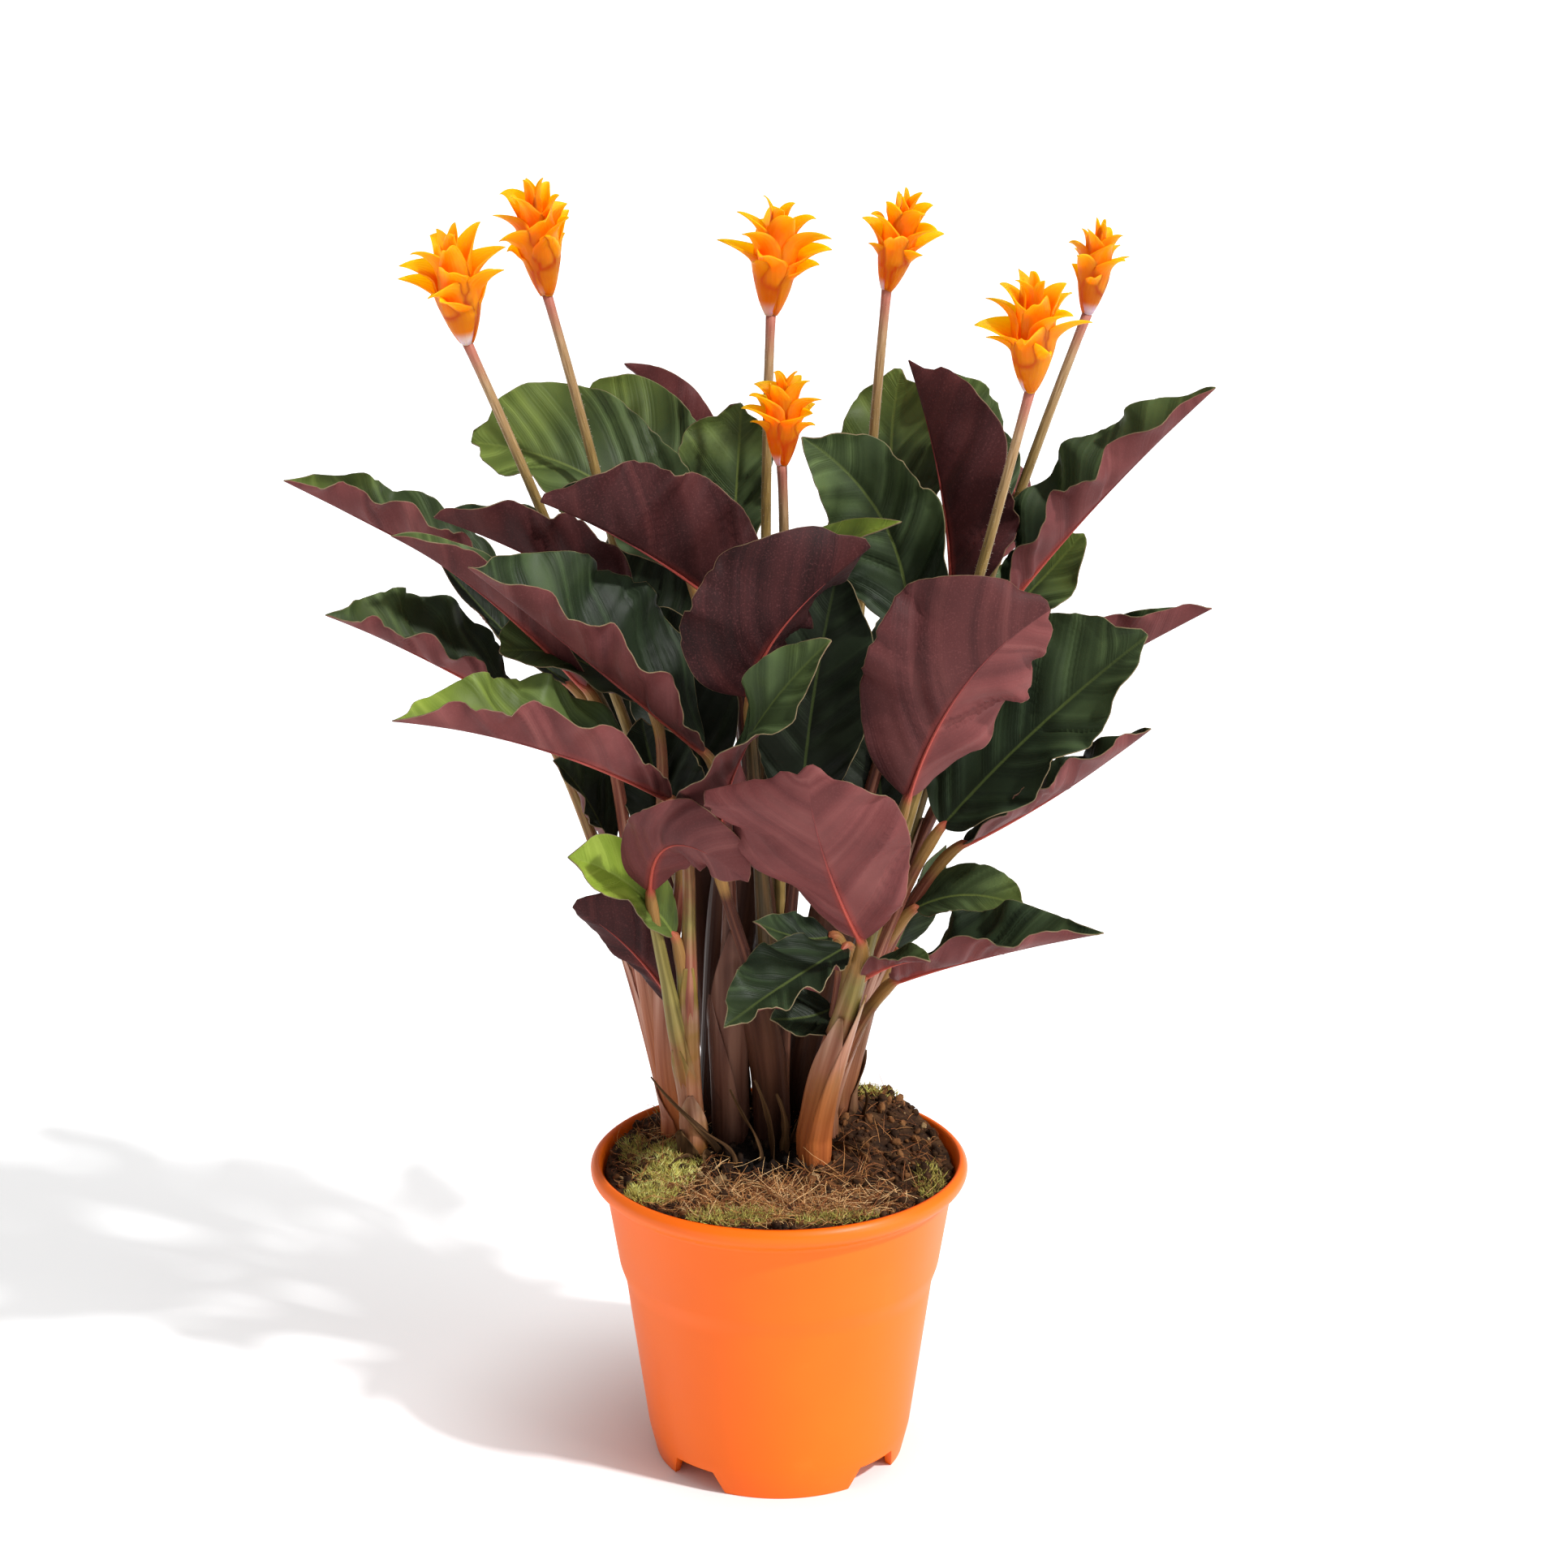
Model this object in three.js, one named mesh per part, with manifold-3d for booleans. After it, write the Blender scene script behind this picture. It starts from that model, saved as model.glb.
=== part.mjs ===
// Eternal flame calathea in a 14 cm nursery pot.
// Millimetres, +Z up, front of the plant toward -Y.
// Frame origin: centre of the pot's underside.
import * as THREE from 'three';
import { mergeVertices } from 'three/addons/utils/BufferGeometryUtils.js';
import Module from 'manifold-3d';

const wasm = await Module();
wasm.setup();

// ---------------------------------------------------------------- sizes
const CLEARANCE = 0.35;        // gap kept between neighbouring pieces

// nursery pot: outer radii and the heights they are at
const POT_SEGMENTS = 32;
const RIM_RADIUS = 70;
const RIM_TOP = 118;
const RIM_ROLL = 7;            // height of the rolled lip
const RIM_INSIDE = 66;
const NECK = [64.6, 108];      // wall just under the lip
const BAND = [59.4, 75.5];     // lower edge of the wider upper band
const WAIST = [57.6, 72];      // wall just under the band
const HEEL = [49.4, 12];       // wall just over the foot ring
const FOOT_RADIUS = 46.5;
const FOOT_HEIGHT = 8.5;       // the floor stands this far above the table
const FOOT_THICK = 2.6;
const FLOOR_THICK = 2;
const FLOOR_RADIUS = 47;
const WALL = 1.3;
const PAD_RADIUS = 12;         // flat resting pad in the middle of the underside
const NOTCHES = 4;
const NOTCH_TURN = 90 * Math.PI / 180;
const NOTCH_TURN_START = 49 * Math.PI / 180;
const NOTCH_LOW = 26;          // notch width at the table
const NOTCH_HIGH = 18;         // and at its top
const NOTCH_DEEP = 20;

// soil
const SOIL_EDGE = 113;         // soil level at the wall
const MOUNDS = [               // the crown's own and a heap behind it on the right
  { x: -4, y: 24, spread: 30, rise: 9 },
  { x: 36, y: 40, spread: 16, rise: 9 },
];
const SOIL_RINGS = [65, 56, 42, 25];
const SOIL_ROUGH = 1.6;
const HOLE_DEPTH = 12;

// blades and stems
const BLADE_HALF_THICK = 0.36;
const MIDRIB_THICKER = 1.5;    // midrib thickness over blade thickness
const BLADE_CUP = 12;          // degrees a half turns up toward its margin
const BLADE_SHOULDER = 0.62;   // low values give a broad rounded base
const BLADE_POINT = 2.1;       // high values give a blunt tip; a leaf may have its own `blunt`
const BLADE_WIDEST = 0.42;     // where along the midrib a half is widest
const BLADE_LEAST = 0.05;      // share of its width that the very ends keep
const FOLD_START = 0.55;       // share of the fold at the blade's base
const FOLD_SETTLED = 0.35;     // share of the length where the fold is full
const WAVE_OUTWARD = 1.7;      // how fast the waves die toward the midrib
const WAVE_OFFSET = 0.37;      // the right half waves this far behind the left
const MIDRIB_INSET = 0.12;     // how far a petiole runs up inside its blade
const BLADE_ROWS_LEAST = 5;
const BLADE_ROWS_MOST = 11;
const BLADE_ROW_LENGTH = 9.2;
const BLADE_COLUMNS = 2;
const STEM_SIDES = 5;
const PETIOLE_STEPS = 3;
const PETIOLE_RISE = 0.42;     // how far a petiole keeps to its shoot's lean
const PETIOLE_MEET = 0.13;     // how far ahead it lines up with its midrib
const SHEATH_SHARE = 0.42;     // sheathed part of a petiole
const SHEATH_RADIUS = 3.6;
const PETIOLE_RADIUS = 2.4;
const NECK_RADIUS = 1.7;
const NECK_END_RADIUS = 0.7;
const FOOT_SPREAD = 2.3;       // petiole feet around the middle of their shoot
const BUNDLE_RADIUS = 6.6;     // outer sheaths that wrap a shoot's foot
const BUNDLE_SIDES = 8;
const FOOT_STRAIGHT = 8;        // stems stand straight this far above the soil
const BUNDLE_HEIGHT = 30;
const STALK_STEPS = 6;
const STALK_RISE = 0.3;
const STALK_RADIUS = 1.7;
const STALK_FOOT_RADIUS = 2.4;

// blooms
const BRACT_THICK = 0.9;

// ---------------------------------------------------------------- colours
const COLOURS = {
  pot: 0xff802a,
  soil: 0x4a3626,
  leaf: 0x33462c,
  bloom: 0xff9010,
};

function finish(colour, roughness) {
  return new THREE.MeshStandardMaterial({ color: colour, roughness, metalness: 0 });
}

// ---------------------------------------------------------------- vectors
const vec = (p) => new THREE.Vector3(p[0], p[1], p[2]);
const mix = (a, b, k) => a.clone().lerp(b, k);
const UP = new THREE.Vector3(0, 0, 1);

function wave(x) {
  return Math.sin(2 * Math.PI * x);
}

function smooth(x) {
  const k = Math.min(1, Math.max(0, x));
  return k * k * (3 - 2 * k);
}

// small repeatable unevenness, between -1 and 1
function uneven(a, b) {
  const h = Math.sin(a * 12.9898 + b * 78.233) * 43758.5453;
  return 2 * (h - Math.floor(h)) - 1;
}

// ---------------------------------------------------------------- solids
function toSolid(geometry) {
  const plain = geometry.clone();
  for (const name of Object.keys(plain.attributes)) {
    if (name !== 'position') plain.deleteAttribute(name);
  }
  const merged = mergeVertices(plain, 1e-4);
  const mesh = new wasm.Mesh({
    numProp: 3,
    vertProperties: new Float32Array(merged.attributes.position.array),
    triVerts: new Uint32Array(merged.index.array),
  });
  return new wasm.Manifold(mesh);
}

function toGeometry(solid) {
  const mesh = solid.getMesh();
  const geometry = new THREE.BufferGeometry();
  geometry.setAttribute('position', new THREE.BufferAttribute(new Float32Array(mesh.vertProperties), 3));
  geometry.setIndex(new THREE.BufferAttribute(new Uint32Array(mesh.triVerts), 1));
  const open = geometry.toNonIndexed();
  open.computeVertexNormals();
  return open;
}

function fromPoints(points, faces) {
  const geometry = new THREE.BufferGeometry();
  const numbers = points.flatMap((p) => [p.x, p.y, p.z]);
  geometry.setAttribute('position', new THREE.Float32BufferAttribute(numbers, 3));
  geometry.setIndex(faces.flat());
  return toSolid(geometry);
}

// closed skin through rings of equal length, each ring anticlockwise seen from its far side
function loft(rings) {
  const count = rings[0].length;
  const points = rings.flat();
  const faces = [];
  for (let r = 0; r + 1 < rings.length; r += 1) {
    for (let k = 0; k < count; k += 1) {
      const a = r * count + k;
      const b = r * count + (k + 1) % count;
      faces.push([a, b, b + count], [a, b + count, a + count]);
    }
  }
  const last = (rings.length - 1) * count;
  for (let k = 1; k + 1 < count; k += 1) {
    faces.push([0, k + 1, k], [last, last + k, last + k + 1]);
  }
  return fromPoints(points, faces);
}

// round rod through path points with a radius at each
function rod(path, radii, sides) {
  const rings = [];
  let across = new THREE.Vector3(1, 0, 0);
  for (let i = 0; i < path.length; i += 1) {
    const ahead = path[Math.min(i + 1, path.length - 1)].clone().sub(path[Math.max(i - 1, 0)]).normalize();
    across = across.clone().addScaledVector(ahead, -across.dot(ahead)).normalize();
    const other = ahead.clone().cross(across);
    const ring = [];
    for (let k = 0; k < sides; k += 1) {
      const turn = 2 * Math.PI * k / sides;
      ring.push(path[i].clone()
        .addScaledVector(across, radii[i] * Math.cos(turn))
        .addScaledVector(other, radii[i] * Math.sin(turn)));
    }
    rings.push(ring);
  }
  return loft(rings);
}

function cubic(a, b, c, d, k) {
  const m = 1 - k;
  return new THREE.Vector3()
    .addScaledVector(a, m * m * m)
    .addScaledVector(b, 3 * m * m * k)
    .addScaledVector(c, 3 * m * k * k)
    .addScaledVector(d, k * k * k);
}

// ---------------------------------------------------------------- soil level
function soilLevel(x, y) {
  let level = SOIL_EDGE;
  for (const mound of MOUNDS) {
    const away = Math.hypot(x - mound.x, y - mound.y) / mound.spread;
    level += mound.rise * Math.exp(-away * away / 2);
  }
  return level;
}

// ---------------------------------------------------------------- blade
// A blade hangs on a midrib through base, mid and tip. `face` is the side the
// upper surface looks to. Each half has a width, a fold in degrees (0 lies
// flat, 90 stands up along `face`) and the share of the length where it is
// widest; then, where they differ, its own shoulder and how blunt it ends.
// `wave` is height, count and phase of the margin's waves.
function midrib(leaf, s) {
  const base = vec(leaf.base);
  const tip = vec(leaf.tip);
  const pull = vec(leaf.mid).multiplyScalar(2).addScaledVector(base, -0.5).addScaledVector(tip, -0.5);
  const m = 1 - s;
  return base.multiplyScalar(m * m).addScaledVector(pull, 2 * m * s).addScaledVector(tip, s * s);
}

function midribAhead(leaf, s) {
  const step = 0.01;
  return midrib(leaf, s + step).sub(midrib(leaf, s - step)).normalize();
}

function outline(s, half, blunt) {
  const [, , widest = BLADE_WIDEST, shoulder = BLADE_SHOULDER, point = blunt] = half;
  if (s < widest) {
    const k = Math.min(1, 1 - s / widest);
    return (1 - k * k) ** shoulder;
  }
  const k = Math.min(1, (s - widest) / (1 - widest));
  return 1 - k ** point;
}

function bladePoint(leaf, s, t) {
  const ahead = midribAhead(leaf, s);
  const faceHere = leaf.faceTip ? mix(vec(leaf.face), vec(leaf.faceTip), smooth(s)) : vec(leaf.face);
  const normal = faceHere.addScaledVector(ahead, -faceHere.dot(ahead)).normalize();
  const right = ahead.clone().cross(normal);
  const half = t < 0 ? leaf.left : leaf.right;
  const sign = t < 0 ? -1 : 1;
  const reach = Math.abs(t);
  const share = outline(s, half, leaf.blunt ?? BLADE_POINT);
  const width = half[0] * Math.max(share, BLADE_LEAST);
  const settle = THREE.MathUtils.lerp(FOLD_START, 1, smooth(s / FOLD_SETTLED));
  const fold = half[1] * settle * Math.PI / 180;
  const cup = BLADE_CUP * Math.PI / 180;
  const angle = fold + cup * (reach - 0.5);
  const [height, count, phase] = leaf.wave;
  const taper = Math.max(0, Math.sin(Math.PI * Math.min(1, Math.max(0, s)))) ** 0.6;
  const shift = t < 0 ? phase : phase + WAVE_OFFSET;
  const lift = height * taper * reach ** WAVE_OUTWARD * wave(count * s + shift);
  return midrib(leaf, s)
    .addScaledVector(right, sign * (width * reach * Math.cos(angle) - lift * Math.sin(angle)))
    .addScaledVector(normal, width * reach * Math.sin(angle) + lift * Math.cos(angle));
}

function bladeNormal(leaf, s, t) {
  const step = 0.02;
  const along = bladePoint(leaf, s + step, t).sub(bladePoint(leaf, s - step, t));
  const across = bladePoint(leaf, s, t + step).sub(bladePoint(leaf, s, t - step));
  return across.cross(along).normalize();
}

function bladeRows(leaf) {
  const length = vec(leaf.base).distanceTo(vec(leaf.tip));
  return Math.max(BLADE_ROWS_LEAST, Math.min(BLADE_ROWS_MOST, Math.round(length / BLADE_ROW_LENGTH)));
}

function blade(leaf) {
  const rows = bladeRows(leaf);
  const columns = BLADE_COLUMNS;
  const upper = [];
  const lower = [];
  for (let i = 0; i <= rows; i += 1) {
    const s = i / rows;
    for (let j = 0; j <= columns; j += 1) {
      const t = 2 * j / columns - 1;
      const point = bladePoint(leaf, s, t);
      const normal = bladeNormal(leaf, s, t === 0 ? 0 : t * 0.97);
      const thick = t === 0 ? BLADE_HALF_THICK * MIDRIB_THICKER : BLADE_HALF_THICK;
      upper.push(point.clone().addScaledVector(normal, thick));
      lower.push(point.clone().addScaledVector(normal, -thick));
    }
  }
  const wide = columns + 1;
  const under = upper.length;
  const faces = [];
  for (let i = 0; i < rows; i += 1) {
    for (let j = 0; j < columns; j += 1) {
      const a = i * wide + j;
      const b = a + 1;
      const c = a + wide;
      const d = c + 1;
      const split = j < columns / 2 ? [[a, b, c], [b, d, c]] : [[a, b, d], [a, d, c]];
      for (const [p, q, r] of split) {
        faces.push([p, q, r], [under + p, under + r, under + q]);
      }
    }
  }
  const edge = [];
  for (let j = 0; j < columns; j += 1) edge.push(j);
  for (let i = 0; i < rows; i += 1) edge.push(i * wide + columns);
  for (let j = columns; j > 0; j -= 1) edge.push(rows * wide + j);
  for (let i = rows; i > 0; i -= 1) edge.push(i * wide);
  edge.forEach((a, n) => {
    const b = edge[(n + 1) % edge.length];
    faces.push([a, under + a, b], [b, under + a, under + b]);
  });
  return fromPoints([...upper, ...lower], faces);
}

// ---------------------------------------------------------------- petiole and stalk
function footOf(shoot, target) {
  const turn = Math.atan2(target[1] - shoot.foot[1], target[0] - shoot.foot[0]);
  return [shoot.foot[0] + FOOT_SPREAD * Math.cos(turn), shoot.foot[1] + FOOT_SPREAD * Math.sin(turn)];
}

function leaning(shoot) {
  const [x, y] = shoot.lean ?? [0, 0];
  return new THREE.Vector3(x, y, BUNDLE_HEIGHT).normalize();
}

function petiolePath(shoot, leaf) {
  const [x, y] = footOf(shoot, leaf.base);
  const ground = soilLevel(...shoot.foot);
  const start = new THREE.Vector3(x, y, ground + FOOT_STRAIGHT);
  const end = vec(leaf.base);
  const reach = start.distanceTo(end);
  const ahead = midribAhead(leaf, 0.02);
  const rise = start.clone().addScaledVector(leaning(shoot), PETIOLE_RISE * reach);
  const meet = end.clone().addScaledVector(ahead, -PETIOLE_MEET * reach);
  const path = [new THREE.Vector3(x, y, ground - HOLE_DEPTH + CLEARANCE)];
  for (let i = 0; i <= PETIOLE_STEPS; i += 1) {
    path.push(cubic(start, rise, meet, end, i / PETIOLE_STEPS));
  }
  path.push(midrib(leaf, MIDRIB_INSET));
  return path;
}

function petiole(shoot, leaf) {
  const path = petiolePath(shoot, leaf);
  const last = path.length - 1;
  const sheath = leaf.sheath ?? SHEATH_RADIUS;
  const radii = path.map((p, i) => {
    if (i === last) return NECK_END_RADIUS;
    const k = Math.max(0, i - 1) / (last - 2);
    if (k < SHEATH_SHARE) return sheath;
    return THREE.MathUtils.lerp(leaf.stem ?? PETIOLE_RADIUS, NECK_RADIUS, smooth(2 * k - 1));
  });
  return rod(path, radii, STEM_SIDES);
}

function stalk(shoot, flower) {
  const [x, y] = footOf(shoot, flower.base);
  const ground = soilLevel(...shoot.foot);
  const start = new THREE.Vector3(x, y, ground + FOOT_STRAIGHT);
  const end = vec(flower.base);
  const reach = start.distanceTo(end);
  const path = [new THREE.Vector3(x, y, ground - HOLE_DEPTH + CLEARANCE)];
  const rise = start.clone().addScaledVector(leaning(shoot), STALK_RISE * reach);
  const meet = vec(flower.meet);
  for (let i = 0; i <= STALK_STEPS; i += 1) {
    path.push(cubic(start, rise, meet, end, i / STALK_STEPS));
  }
  const radii = path.map((p, i) => THREE.MathUtils.lerp(STALK_FOOT_RADIUS, STALK_RADIUS, i / path.length));
  return rod(path, radii, STEM_SIDES);
}

// sheaths wrapped round the foot of a shoot, leaning the way its leaves go
function bundle(shoot) {
  const [x, y] = shoot.foot;
  const ground = soilLevel(x, y);
  const lean = shoot.lean ?? [0, 0];
  const levels = [
    [-HOLE_DEPTH + CLEARANCE, 1, 0],
    [7, 1, 0],
    [0.45 * BUNDLE_HEIGHT, 0.8, 0.3],
    [BUNDLE_HEIGHT, 0.35, 1],
  ];
  const path = levels.map(([z, , k]) => new THREE.Vector3(x + k * lean[0], y + k * lean[1], ground + z));
  return rod(path, levels.map(([, r]) => r * (shoot.girth ?? BUNDLE_RADIUS)), BUNDLE_SIDES);
}

// ---------------------------------------------------------------- plant layout
const SHOOTS = {
  shoot_front: {
    foot: [12, 0],
    lean: [4, -7],
    girth: 8,
    leaves: {
      keel: {
        base: [29, -38, 216], mid: [15, -67, 259], tip: [9, -73, 293], face: [0.2, 0.9, 0.4],
        left: [31, 8, 0.55], right: [41, 7, 0.8, 1.05], wave: [3.6, 3, 0.2], blunt: 3.6,
        sheath: 5.4, stem: 4.2,
      },
      small_right: {
        base: [31, -28, 199], mid: [42, -40, 208], tip: [54, -52, 213], face: [0, -0.3, 0.95],
        left: [9, 15], right: [9, 35], wave: [1.2, 2, 0.1],
      },
      long: {
        base: [24, -20, 207], mid: [2, -48, 203], tip: [-19, -72, 196], face: [0, -0.4, 0.9],
        left: [12, 12], right: [17, 12], wave: [2.6, 4, 0.1],
      },
      upper: {
        base: [19, -11, 208], mid: [6, -18, 210], tip: [-10, -28, 220], face: [0, -0.5, 0.85],
        left: [9, 12], right: [10, 12], wave: [1.6, 3, 0.4],
      },
      lower: {
        base: [20, -5, 178], mid: [9, -10, 176], tip: [-4, -17, 178], face: [0, -0.6, 0.8],
        left: [12, 10], right: [12, 10], wave: [1, 2, 0.2],
      },
    },
  },
  shoot_right_front: {
    foot: [14, 16],
    lean: [8, -2],
    leaves: {
      broad: {
        base: [59, 3, 245], mid: [92, -2, 283], tip: [132, -6, 320], face: [-0.3, -0.8, 0.55],
        left: [36, 8, 0.5], right: [20, 10, 0.45], wave: [4.4, 3, 0.4], blunt: 2.8,
      },
      wine: {
        base: [45, -38, 269], mid: [64, -54, 315], tip: [95, -52, 342], face: [-0.25, 0.95, 0.2],
        left: [24, 8, 0.45], right: [38, 12, 0.6, 0.8, 1.7], wave: [4.4, 3, 0.0], blunt: 3.4,
      },
      low: {
        base: [43, -8, 190], mid: [72, -34, 208], tip: [114, -50, 223], face: [0, -0.2, 1],
        left: [22, 28], right: [17, 40], wave: [3.4, 3, 0.3],
      },
      under: {
        base: [67, 10, 236], mid: [103, 6, 258], tip: [135, -2, 285], face: [-0.1, -0.1, 1],
        left: [16, 30], right: [26, 40], wave: [3.6, 4, 0.3],
      },
      olive: {
        base: [50, 8, 212], mid: [69, 2, 219], tip: [90, -8, 217], face: [0, -0.5, 0.85],
        left: [13, 10], right: [12, 10], wave: [1, 2, 0.2], blunt: 3,
      },
      inner: {
        base: [43, 15, 193], mid: [51, 20, 211], tip: [62, 30, 229], face: [0.7, -0.7, 0.2],
        left: [9, 15], right: [9, 15], wave: [1, 2, 0.1],
      },
    },
    flowers: {
      flower_5: { base: [86, -25, 411], top: [87, -30, 452], meet: [63, -4, 307], spread: 1.02 },
    },
  },
  shoot_centre: {
    foot: [-2, 14],
    lean: [0, -2],
    leaves: {
      curl: {
        base: [-22, -20, 240], mid: [-12, -41, 288], tip: [19, -53, 331], face: [-0.5, 0.8, 0.3],
        faceTip: [-0.5, -0.7, 0.5], left: [15, 15, 0.6], right: [20, 15, 0.5], wave: [3.1, 3, 0.1], blunt: 3,
      },
      wine: {
        base: [-10, -24, 302], mid: [2, -32, 330], tip: [34, -26, 358], face: [-0.35, 0.85, 0.4],
        left: [22, 35], right: [34, 15], wave: [3.9, 3, 0.2], blunt: 2.8,
      },
      small: {
        base: [-3, 10, 319], mid: [14, 2, 345], tip: [43, -8, 361], face: [0, -0.6, 0.8],
        left: [10, 20], right: [9, 20], wave: [1.2, 2, 0.3],
      },
      shade: {
        base: [8, 6, 250], mid: [13, 4, 298], tip: [22, 6, 344], face: [0, -0.9, 0.2],
        left: [22, 15, 0.5], right: [22, 15, 0.5], wave: [2.6, 3, 0.2],
      },
    },
    flowers: {
      flower_7: { base: [1, 20, 375], top: [2, 20, 410], meet: [4, 24, 320], spread: 0.92 },
    },
  },
  shoot_middle: {
    foot: [-17, 15],
    lean: [-1, -3],
    leaves: {
      broad: {
        base: [-27, -12, 278], mid: [-67, -24, 315], tip: [-108, -38, 353], face: [0.1, -0.25, 1],
        left: [20, 55], right: [38, 32, 0.45], wave: [3.9, 4, 0.1],
      },
    },
  },
  shoot_left_front: {
    foot: [-31, 6],
    lean: [-3, -2],
    leaves: {
      bright: {
        base: [-39, -20, 263], mid: [-84, -43, 289], tip: [-134, -58, 303], face: [0, -0.1, 1],
        left: [18, 58], right: [30, 32], wave: [3.9, 4, 0.0],
      },
      scroll: {
        base: [-46, -20, 228], mid: [-36, -42, 253], tip: [-9, -54, 242], face: [0.1, 0.9, 0.35],
        left: [14, 12], right: [17, 12], wave: [2.9, 3, 0.1], blunt: 3.4,
      },
      pale: {
        base: [-38, -8, 207], mid: [-54, -18, 230], tip: [-75, -26, 243], face: [0.2, -0.7, 0.6],
        left: [13, 25, 0.68], right: [13, 25, 0.68], wave: [1.6, 2, 0.2], blunt: 3.4,
      },
      grey: {
        base: [-37, 8, 172], mid: [-55, 4, 198], tip: [-77, -2, 217], face: [0.3, 0.9, 0.3],
        left: [20, 10, 0.6, 0.8, 2.5], right: [8, 10], wave: [1.2, 2, 0.3], blunt: 3.4,
      },
    },
  },
  shoot_left_middle: {
    foot: [-24, 29],
    lean: [1, -3],
    leaves: {
      tall: {
        base: [-15, 13, 321], mid: [-47, -8, 350], tip: [-84, -22, 372], face: [0.1, 0, 1],
        left: [34, 70], right: [24, 55], wave: [3.9, 4, 0.3], blunt: 2.6,
      },
    },
  },
  shoot_left: {
    foot: [-38, 24],
    lean: [-7, 0],
    leaves: {
      shade: {
        base: [-37, 16, 234], mid: [-45, 15, 260], tip: [-50, 14, 284], face: [0.1, -0.9, 0.3],
        left: [16, 15, 0.5], right: [18, 15, 0.5], wave: [1.6, 3, 0.1],
      },
      narrow: {
        base: [-69, -3, 299], mid: [-103, -12, 335], tip: [-136, -22, 360], face: [0.3, 0, 1],
        left: [14, 55], right: [14, 50], wave: [1.8, 3, 0.2],
      },
      far: {
        base: [-95, 35, 281], mid: [-130, 25, 303], tip: [-163, 15, 321], face: [0.1, -0.1, 1],
        left: [12, 45], right: [27, 35], wave: [3.4, 4, 0.1],
      },
      round: {
        base: [-48, 5, 292], mid: [-74, -3, 310], tip: [-101, -11, 314], face: [0, -0.4, 0.9],
        left: [15, 8], right: [19, 8, 0.6], wave: [1.4, 2, 0.1], blunt: 3,
      },
      inner: {
        base: [-62, 22, 229], mid: [-70, 12, 252], tip: [-82, 2, 271], face: [0.5, -0.5, 0.7],
        left: [14, 20], right: [15, 20], wave: [1.6, 3, 0.1],
      },
    },
  },
  shoot_back_left: {
    foot: [-17, 44],
    lean: [-5, 2],
    leaves: {
      inner: {
        base: [-28, 34, 253], mid: [-37, 31, 289], tip: [-50, 35, 323], face: [0.1, -0.9, 0.3],
        left: [20, 15, 0.5], right: [21, 15, 0.5], wave: [2.6, 3, 0.3],
      },
      shade_upper: {
        base: [-37, 62, 276], mid: [-53, 84, 306], tip: [-66, 98, 332], face: [0.1, -0.8, 0.5],
        left: [20, 15, 0.5], right: [22, 15, 0.5], wave: [2.9, 3, 0.1],
      },
      long: {
        base: [-96, 50, 319], mid: [-142, 45, 344], tip: [-178, 30, 367], face: [0.3, 0, 1],
        left: [17, 48], right: [20, 42], wave: [3.4, 4, 0.2],
      },
      dark: {
        base: [-50, 27, 318], mid: [-87, 19, 341], tip: [-125, 10, 359], face: [0.1, 0, 1],
        left: [22, 60], right: [18, 52], wave: [3.4, 4, 0.4],
      },
      green: {
        base: [-34, 60, 325], mid: [-68, 70, 358], tip: [-116, 76, 371], face: [0.2, -0.6, 0.75],
        left: [24, 15, 0.5], right: [31, 18, 0.62], wave: [4.2, 3, 0.1], blunt: 3.4,
      },
      grey: {
        base: [-78, 54, 284], mid: [-104, 64, 303], tip: [-128, 72, 329], face: [0.3, -0.3, 0.9],
        left: [10, 15], right: [10, 15], wave: [1, 2, 0.1],
      },
      shade: {
        base: [-43, 66, 240], mid: [-65, 92, 270], tip: [-88, 110, 297], face: [0.2, -0.7, 0.5],
        left: [22, 15, 0.5], right: [22, 15, 0.5], wave: [3.1, 3, 0.2],
      },
    },
    flowers: {
      flower_1: { base: [-110, 20, 419], top: [-116, 15, 460], meet: [-74, 38, 328], spread: 1.05 },
      flower_2: { base: [-84, 60, 429], top: [-89, 58, 471], meet: [-58, 62, 333], spread: 0.85 },
    },
  },
  shoot_back: {
    foot: [-1, 45],
    lean: [-1, 4],
    leaves: {
      green: {
        base: [-18, 78, 323], mid: [-16, 88, 351], tip: [-14, 93, 384], face: [0, -0.9, 0.4],
        left: [26, 18, 0.55], right: [14, 18, 0.55], wave: [2.9, 3, 0.2], blunt: 3.4,
      },
      yellow: {
        base: [-28, 105, 324], mid: [-46, 118, 358], tip: [-75, 126, 382], face: [0.3, -0.7, 0.6],
        left: [20, 20], right: [19, 20, 0.55], wave: [3.1, 3, 0.1], blunt: 3.4,
      },
      wine: {
        base: [-21, 128, 324], mid: [-37, 140, 362], tip: [-60, 146, 387], face: [0.3, 0.8, 0.4],
        left: [13, 30], right: [12, 30], wave: [3.1, 3, 0.3], blunt: 2.8,
      },
      shade: {
        base: [-12, 76, 262], mid: [-15, 100, 296], tip: [-22, 122, 320], face: [0.1, -0.8, 0.5],
        left: [20, 15, 0.5], right: [20, 15, 0.5], wave: [3.1, 3, 0.1],
      },
    },
    flowers: {
      flower_3: { base: [-3, 70, 420], top: [0, 70, 462], meet: [-7, 60, 330], spread: 1.05 },
    },
  },
  shoot_back_middle: {
    foot: [6, 30],
    lean: [3, 0],
    leaves: {
      near: {
        base: [47, 25, 312], mid: [37, 30, 353], tip: [7, 15, 387], face: [-0.2, -0.85, 0.45],
        left: [24, 18], right: [22, 18], wave: [3.6, 3, 0.0], blunt: 2.8,
      },
      shade: {
        base: [38, 24, 239], mid: [36, 26, 265], tip: [33, 28, 292], face: [-0.1, -0.9, 0.3],
        left: [15, 15, 0.5], right: [15, 15, 0.5], wave: [1.4, 3, 0.3],
      },
    },
  },
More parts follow.
